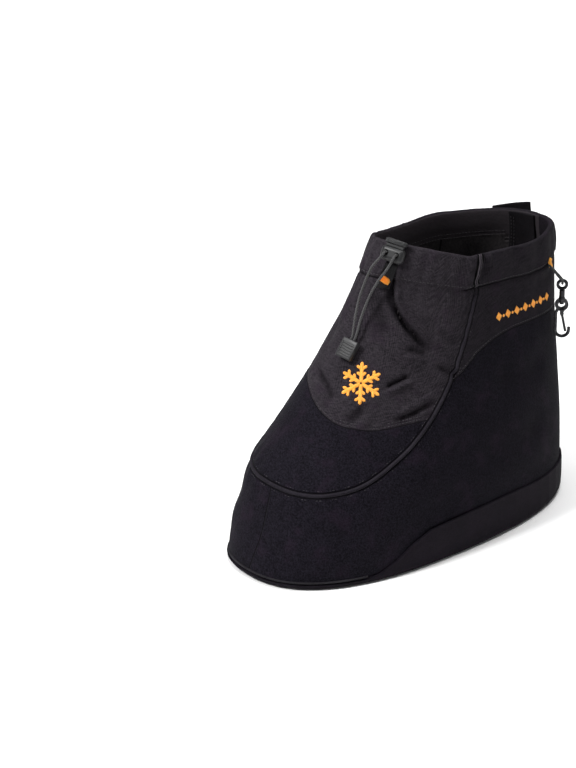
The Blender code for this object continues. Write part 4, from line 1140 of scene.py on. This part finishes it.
# %% [markdown]
# The snowflake has six arms, each with two pairs of branches that lean outwards.
# %% Snowflake
FLAKE_ANGLE, FLAKE_HEIGHT = math.radians(28.2), 164.8 * MM
ARM, BRANCHES = 18.5, ((6.5, 5.0), (12.0, 5.6))
bars = []
for degrees in range(30, 390, 60):
    way = way_at(degrees)
    bars.append((0.8 * way, ARM * way, 3.3, 0.95))
    for place, length in BRANCHES:
        for lean in (-55, 55):
            bars.append((place * way, place * way + length * way_at(degrees + lean), 2.6, 0.8))
flake = ridges("snowflake", FLAKE_ANGLE, FLAKE_HEIGHT, bars)
finish_piece(flake, COVER, "shell_cloth", materials=(orange_thread,))

# %% [markdown]
# The quarter's row repeats a lozenge and a dot along a line that dips a little to the back.
# %% Row of lozenges
ROW_ANGLE, ROW_HEIGHT = math.radians(112), 195.5 * MM
ROW_COUNT, ROW_START, ROW_PITCH, ROW_TOP, ROW_DIP = 7, -31.0, 11.5, 1.6, 0.55
LOZENGE = ((-2.8, 2.0), (-1.9, 4.4), (-0.95, 6.6), (0.0, 8.4), (0.95, 6.6), (1.9, 4.4), (2.8, 2.0))
row_bars = []
for k in range(ROW_COUNT):
    x, y = ROW_START + ROW_PITCH * k, ROW_TOP - ROW_DIP * k
    for step, tall in LOZENGE:
        row_bars.append(((x + step, y - tall / 2), (x + step, y + tall / 2), 1.1, 0.6))
    if k < ROW_COUNT - 1:
        between = x + ROW_PITCH / 2
        row_bars.append(((between, y - 2.0), (between, y + 0.6), 2.6, 0.6))
lozenges = ridges("lozenge_row", ROW_ANGLE, ROW_HEIGHT, row_bars)
finish_piece(lozenges, COVER, "shell_cloth", materials=(orange_thread,))

# %% [markdown]
# A small woven square in the same orange is sewn on the lock's tab, a little turned.
# %% Woven square
TAB_TILT, SQUARE_ANGLE, SQUARE_HEIGHT, SQUARE_LIFT = -24, math.radians(17.8), 243.5 * MM, 2.2 * MM
square_bars = []
for k in range(9):
    middle, half = (k - 4) * 0.85 * way_at(TAB_TILT), 3.1 * way_at(TAB_TILT + 90)
    square_bars.append((middle - half, middle + half, 1.0, 3.0))
square = ridges("woven_square", SQUARE_ANGLE, SQUARE_HEIGHT, square_bars, SQUARE_LIFT)
finish_piece(square, COVER, "webbing", materials=(orange_thread,))

# %% [markdown]
# ## Cord lock, tails and their end
# The lock is moulded in grey plastic with two holes; a ribbed button is pressed towards it and
# lets the cords run. The two tails hang to a ribbed end. All sizes are the frame's own.
# %% Directions of the lock and the cord end
LOCK_WIDTH, LOCK_LENGTH, LOCK_DEPTH, LOCK_ROUND = 21.5 * MM, 13.4 * MM, 9.0 * MM, 4.0 * MM
HOLE_SPACING, HOLE_WIDTH, CORD_PLACE, CORD_DIAMETER = 10.0 * MM, 4.6 * MM, 0.3 * MM, 2.2 * MM
BUTTON_SIZE, BUTTON_ROUND, BUTTON_TRAVEL = (19.0 * MM, 4.2 * MM, 8.4 * MM), 1.8 * MM, 1.7 * MM
STEM_WIDTH, STEM_DEPTH, STEM_PAST_HOLE, POCKET_PLACE = 16.0 * MM, 3.2 * MM, 0.9 * MM, 1.4 * MM
RIB_COUNT, RIB_ROUND = 4, 0.24 * MM
RIB_SIZE = (BUTTON_SIZE[0] - 3.5 * MM, 0.55 * MM, 1.0 * MM)
END_SIZE, END_SPACING = (15.5 * MM, 17.5 * MM, 6.0 * MM), 3.1 * MM
PANEL_SIZE, PANEL_PLACE = (END_SIZE[0] - 3.6 * MM, END_SIZE[1] - 5.6 * MM, 1.6 * MM), -0.6 * MM
BAR_COUNT, BAR_SINK, BAR_ROUND, END_ROUND = 5, 0.55 * MM, 0.35 * MM, 1.1 * MM
BAR_SIZE = (PANEL_SIZE[0] + 0.4 * MM, 1.25 * MM, 1.7 * MM)
TAB_THICKNESS = 1.4 * MM
LOCK_ANGLE, LOCK_HEIGHT, LOCK_TILT = 17.5, 264 * MM, 8.0
END_ANGLE, END_HEIGHT, END_OUT, END_TILT = 11.0, 187.5 * MM, 5.2 * MM, 12.0


def axes_at(angle, height, proud, tilt):
    """Matrix at a place off the skin: across, up and out, turned a little about out."""
    angle = math.radians(angle)
    around, _, out = skin_slopes(angle, height)
    across, out = Vector(unit(around)), Vector(out)
    rise = out.cross(across)
    turn = Matrix.Rotation(-math.radians(tilt), 3, out)
    turned = Matrix((turn @ across, turn @ rise, out)).transposed().to_4x4()
    return Matrix.Translation(Vector(skin(angle, height)) + out * proud) @ turned


lock_out = CASING_STEP + GAP + TAB_THICKNESS + GAP + LOCK_DEPTH / 2
LOCK_AXES = axes_at(LOCK_ANGLE, LOCK_HEIGHT, lock_out, LOCK_TILT)
END_AXES = axes_at(END_ANGLE, END_HEIGHT, END_OUT, END_TILT)
print("lock at", [round(c / MM, 1) for c in LOCK_AXES.translation])

# %% [markdown]
# A rounded block starts as a cube, is scaled and gets its edges bevelled in edit mode.
# %% Blocks, rods and holes


def named(name):
    """The piece just added, under its name and with its place in its mesh."""
    piece = settle(bpy.context.object)
    piece.name = piece.data.name = name
    return piece


def block(name, size, centre=(0, 0, 0), rounding=0.0, segments=5):
    deselect()
    bpy.ops.mesh.primitive_cube_add(size=1.0, location=centre, scale=size)
    piece = named(name)
    if rounding:
        in_edit(piece, lambda: bpy.ops.mesh.bevel(offset=rounding, segments=segments, affect="EDGES"))
    return piece


def rod(name, diameter, length, centre, sides=32):
    deselect()
    bpy.ops.mesh.primitive_cylinder_add(vertices=sides, radius=diameter / 2, depth=length, location=centre)
    return named(name)


def cut(piece, *tools, operation="DIFFERENCE"):
    for tool in tools:
        step = piece.modifiers.new("Cut", "BOOLEAN")
        step.operation, step.object, step.solver = operation, tool, "EXACT"
        only(piece)
        bpy.ops.object.modifier_apply(modifier=step.name)
        bpy.data.objects.remove(tool, do_unlink=True)
    return piece


def put(piece, axes):
    """Move a piece that was made at the origin to its axes, and keep the place in its mesh."""
    piece.matrix_world = axes
    return settle(piece)


# %% [markdown]
# Moulded plastic is satin: a fine etched grain, with random patches that differ a little in tone and shine.
# %% Plastic and metal finishes


def plastic_finish():
    finish = Finish("lock_plastic", Specular_IOR_Level=0.32)
    grain = finish.noise(1500.0, 2.0, 0.5)
    wear = finish.noise(90.0, 3.0)
    colour = finish.mix(wear.between(0.35, 0.7), (0.0095, 0.0095, 0.0105), (0.0160, 0.0160, 0.0170))
    return finish.look(colour, wear * 0.18 + 0.34, grain, 0.05 * MM, 0.4)


def metal_finish():
    finish = Finish("clip_metal", Metallic=0.85)
    wear = finish.noise(160.0, 4.0)
    grain = finish.noise(1800.0, 2.0, 0.5)
    colour = finish.mix(wear.between(0.4, 0.75), (0.020, 0.020, 0.022), (0.045, 0.045, 0.048))
    return finish.look(colour, wear * 0.2 + 0.22, grain, 0.04 * MM, 0.4)


def cord_finish():
    finish = Finish("drawcord", Sheen_Weight=0.15)
    along, turn = finish.kept("along"), finish.kept("turn")
    pitch = 2 * math.pi / (2.6 * MM)
    left, right = (along * pitch + turn * 4.0).sine(), (along * pitch - turn * 4.0).sine()
    braid = left.most(right) * 0.5 + 0.5
    fuzz = finish.noise(900.0)
    colour = finish.mix((braid * 0.7 + fuzz * 0.3).between(0.3, 0.95), (0.0095, 0.0095, 0.0100),
                        (0.0400, 0.0395, 0.0410))
    return finish.look(colour, 0.72, braid, 0.3 * MM, 0.9)


lock_plastic, clip_metal, drawcord = plastic_finish(), metal_finish(), cord_finish()
print("finishes:", lock_plastic.name, clip_metal.name, drawcord.name)

# %% [markdown]
# The lock's body: a bean-shaped block with a slot for the button's stem and two holes for the cords.
# %% Lock body
hole_sides = (-HOLE_SPACING / 2, HOLE_SPACING / 2)
body = block("cord_lock", (LOCK_WIDTH, LOCK_LENGTH, LOCK_DEPTH), rounding=LOCK_ROUND, segments=7)
pocket = block("pocket", (STEM_WIDTH + 2 * GAP, LOCK_LENGTH, STEM_DEPTH + 2 * GAP), (0, POCKET_PLACE, 0))
bores = [rod("bore", HOLE_WIDTH, 2 * LOCK_DEPTH, (x, CORD_PLACE, 0), sides=48) for x in hole_sides]
cut(body, pocket, *bores)
body = smooth(put(body, LOCK_AXES), 35)
finish_piece(body, COVER, "lock_plastic", "lock_body", materials=(lock_plastic,))

# %% [markdown]
# The button: a cap with grip ribs over a flat stem whose slotted holes let the cords pass.
# %% Lock button
cap_low = LOCK_LENGTH / 2 + BUTTON_TRAVEL + GAP
cap_middle = cap_low + BUTTON_SIZE[1] / 2
stem_low = CORD_PLACE - CORD_DIAMETER / 2 - GAP - STEM_PAST_HOLE
cap = block("button", BUTTON_SIZE, (0, cap_middle, 0), BUTTON_ROUND, 6)
stem_size = (STEM_WIDTH, cap_middle - stem_low, STEM_DEPTH)
stem = block("stem", stem_size, (0, (cap_middle + stem_low) / 2, 0))
windows = []
for x in hole_sides:
    for step in (0.0, BUTTON_TRAVEL):
        windows.append(rod("slot", HOLE_WIDTH, 2 * STEM_DEPTH, (x, CORD_PLACE + step, 0)))
    windows.append(block("slot", (HOLE_WIDTH, BUTTON_TRAVEL, 2 * STEM_DEPTH),
                         (x, CORD_PLACE + BUTTON_TRAVEL / 2, 0)))
cut(cut(cap, stem, operation="UNION"), *windows)
ribs = []
for k in range(RIB_COUNT):
    y = cap_low + (0.22 + 0.19 * k) * BUTTON_SIZE[1]
    ribs.append(block("rib", RIB_SIZE, (0, y, BUTTON_SIZE[2] / 2), RIB_ROUND, 3))
button = smooth(put(join(cap, *ribs), LOCK_AXES), 35)
finish_piece(button, "button", "lock_plastic", "lock_button", materials=(lock_plastic,))

# %% [markdown]
# The cord end: a flat grip with a sunk panel and five bars on each face, moulded over both tails.
# %% Cord end
FACES = (-1, 1)
grip = block("cord_grip", END_SIZE, rounding=END_ROUND, segments=4)
cut(grip, *[block("panel", PANEL_SIZE, (0, PANEL_PLACE, face * END_SIZE[2] / 2)) for face in FACES])
grip_bars = []
for k in range(BAR_COUNT):
    y = PANEL_PLACE + (k - BAR_COUNT // 2) * PANEL_SIZE[1] / BAR_COUNT
    for face in FACES:
        grip_bars.append(block("bar", BAR_SIZE, (0, y, face * (END_SIZE[2] / 2 - BAR_SINK)), BAR_ROUND, 3))
grip = smooth(put(join(grip, *grip_bars), END_AXES), 35)
finish_piece(grip, COVER, "lock_plastic", "cord_end", materials=(lock_plastic,))

# %% [markdown]
# The tails leave the lock's holes, hang over the tongue of cloth below and end in the grip.
# %% Cord tails
ROUTES = {
    "tail_inner": ("cord_inner", -1, ((14.0, -37.4, 265.6), (8.6, -41.3, 256.5), (5.8, -47.0, 242.1),
                                      (5.3, -52.1, 229.5), (7.4, -57.6, 217.7), (10.2, -62.3, 207.2))),
    "tail_outer": ("cord_outer", 1, ((23.6, -36.3, 259.2), (18.4, -42.2, 247.4), (14.7, -47.2, 235.9),
                                     (13.8, -52.8, 224.7), (13.9, -57.5, 215.2), (15.0, -62.1, 205.6))),
}
seat = END_SIZE[1] / 2 + 2 * GAP
for name, (node, side, route) in ROUTES.items():
    outs = (-(LOCK_DEPTH / 2 + TAB_THICKNESS + GAP), 0.0, LOCK_DEPTH / 2, LOCK_DEPTH / 2 + CORD_DIAMETER)
    places = [LOCK_AXES @ Vector((side * HOLE_SPACING / 2, CORD_PLACE, out)) for out in outs]
    places += [Vector(point) * MM for point in route]
    places += [END_AXES @ Vector((side * END_SPACING / 2, seat + more, 0)) for more in (CORD_DIAMETER, 0)]
    path = route_through([tuple(place) for place in places], 1.0 * MM)
    tail = tube(name, path, CORD_DIAMETER / 2, sides=24)
    finish_piece(tail, COVER, "drawcord", node, materials=(drawcord,))
    length = float(np.linalg.norm(np.diff(path, axis=0), axis=1).sum())

    print(name, "is", round(length / MM), "mm long")

# %% [markdown]
# ## Clip at the back
# A small swivel clip hangs from a sewn loop. The frame's forms are kept and given black metal.
# %% Clip
dress("clip_loop", drawcord)
TACK_ANGLE, TACK_RADIUS = math.radians(136.39), 1.7 * MM
TACK_RISES, TACK_LIFTS = np.array([2.5, 0.5, -1.5, -3.5]) * MM, np.array([0.8, 1.6, 1.9, 1.9]) * MM
tack_heights = rim_height(TACK_ANGLE) - CASING_HEIGHT + TACK_RISES
tack_places = cloth(np.full(len(TACK_RISES), TACK_ANGLE), tack_heights, TACK_LIFTS)
bar_tack = tube("bar_tack", tack_places, TACK_RADIUS)
finish_piece(bar_tack, COVER, "seam_cord", materials=(orange_thread,))
for node in ("clip_eye", "clip_hook", "clip_gate"):
    dress(node, clip_metal)

# %% [markdown]
# ## Floor and light
# A pale sweep and large soft lights, as for a catalogue.
# %% Studio
FLOOR_WHITE, WORLD_WHITE, WORLD_STRENGTH = (0.93, 0.93, 0.93), (1.0, 1.0, 1.0, 1.0), 0.15
floor_paint = Finish("floor", Roughness=0.9).look(FLOOR_WHITE)
deselect()
bpy.ops.mesh.primitive_plane_add(size=8.0, location=(0, 0, -0.0002))
floor = bpy.context.object
floor.name = "floor"
floor.data.materials.append(floor_paint)

world = bpy.data.worlds.new("studio")
world.use_nodes = True
sky = world.node_tree.nodes["Background"]
sky.inputs["Color"].default_value, sky.inputs["Strength"].default_value = WORLD_WHITE, WORLD_STRENGTH
bpy.context.scene.world = world
LIGHTS = (
    ("key", (-0.3, -2.0, 2.3), (0.0, 0.0, 0.15), 0.6, 94.0),
    ("top", (0.0, 0.5, 2.8), (0.0, 0.0, 0.15), 2.0, 88.0),
    ("edge", (2.4, 1.6, 1.0), (0.0, 0.0, 0.18), 0.8, 4.0),
)
for name, place, target, size, power in LIGHTS:
    lamp = bpy.data.lights.new(name, "AREA")
    lamp.energy, lamp.size = power, size
    light = bpy.data.objects.new(name, lamp)
    light.location = place
    light.rotation_euler = (Vector(target) - Vector(place)).to_track_quat("-Z", "Y").to_euler()
    bpy.context.scene.collection.objects.link(light)

scene = bpy.context.scene
scene.render.resolution_x, scene.render.resolution_y = 576, 768
scene.view_settings.view_transform = "Standard"
print("lights:", len(LIGHTS))
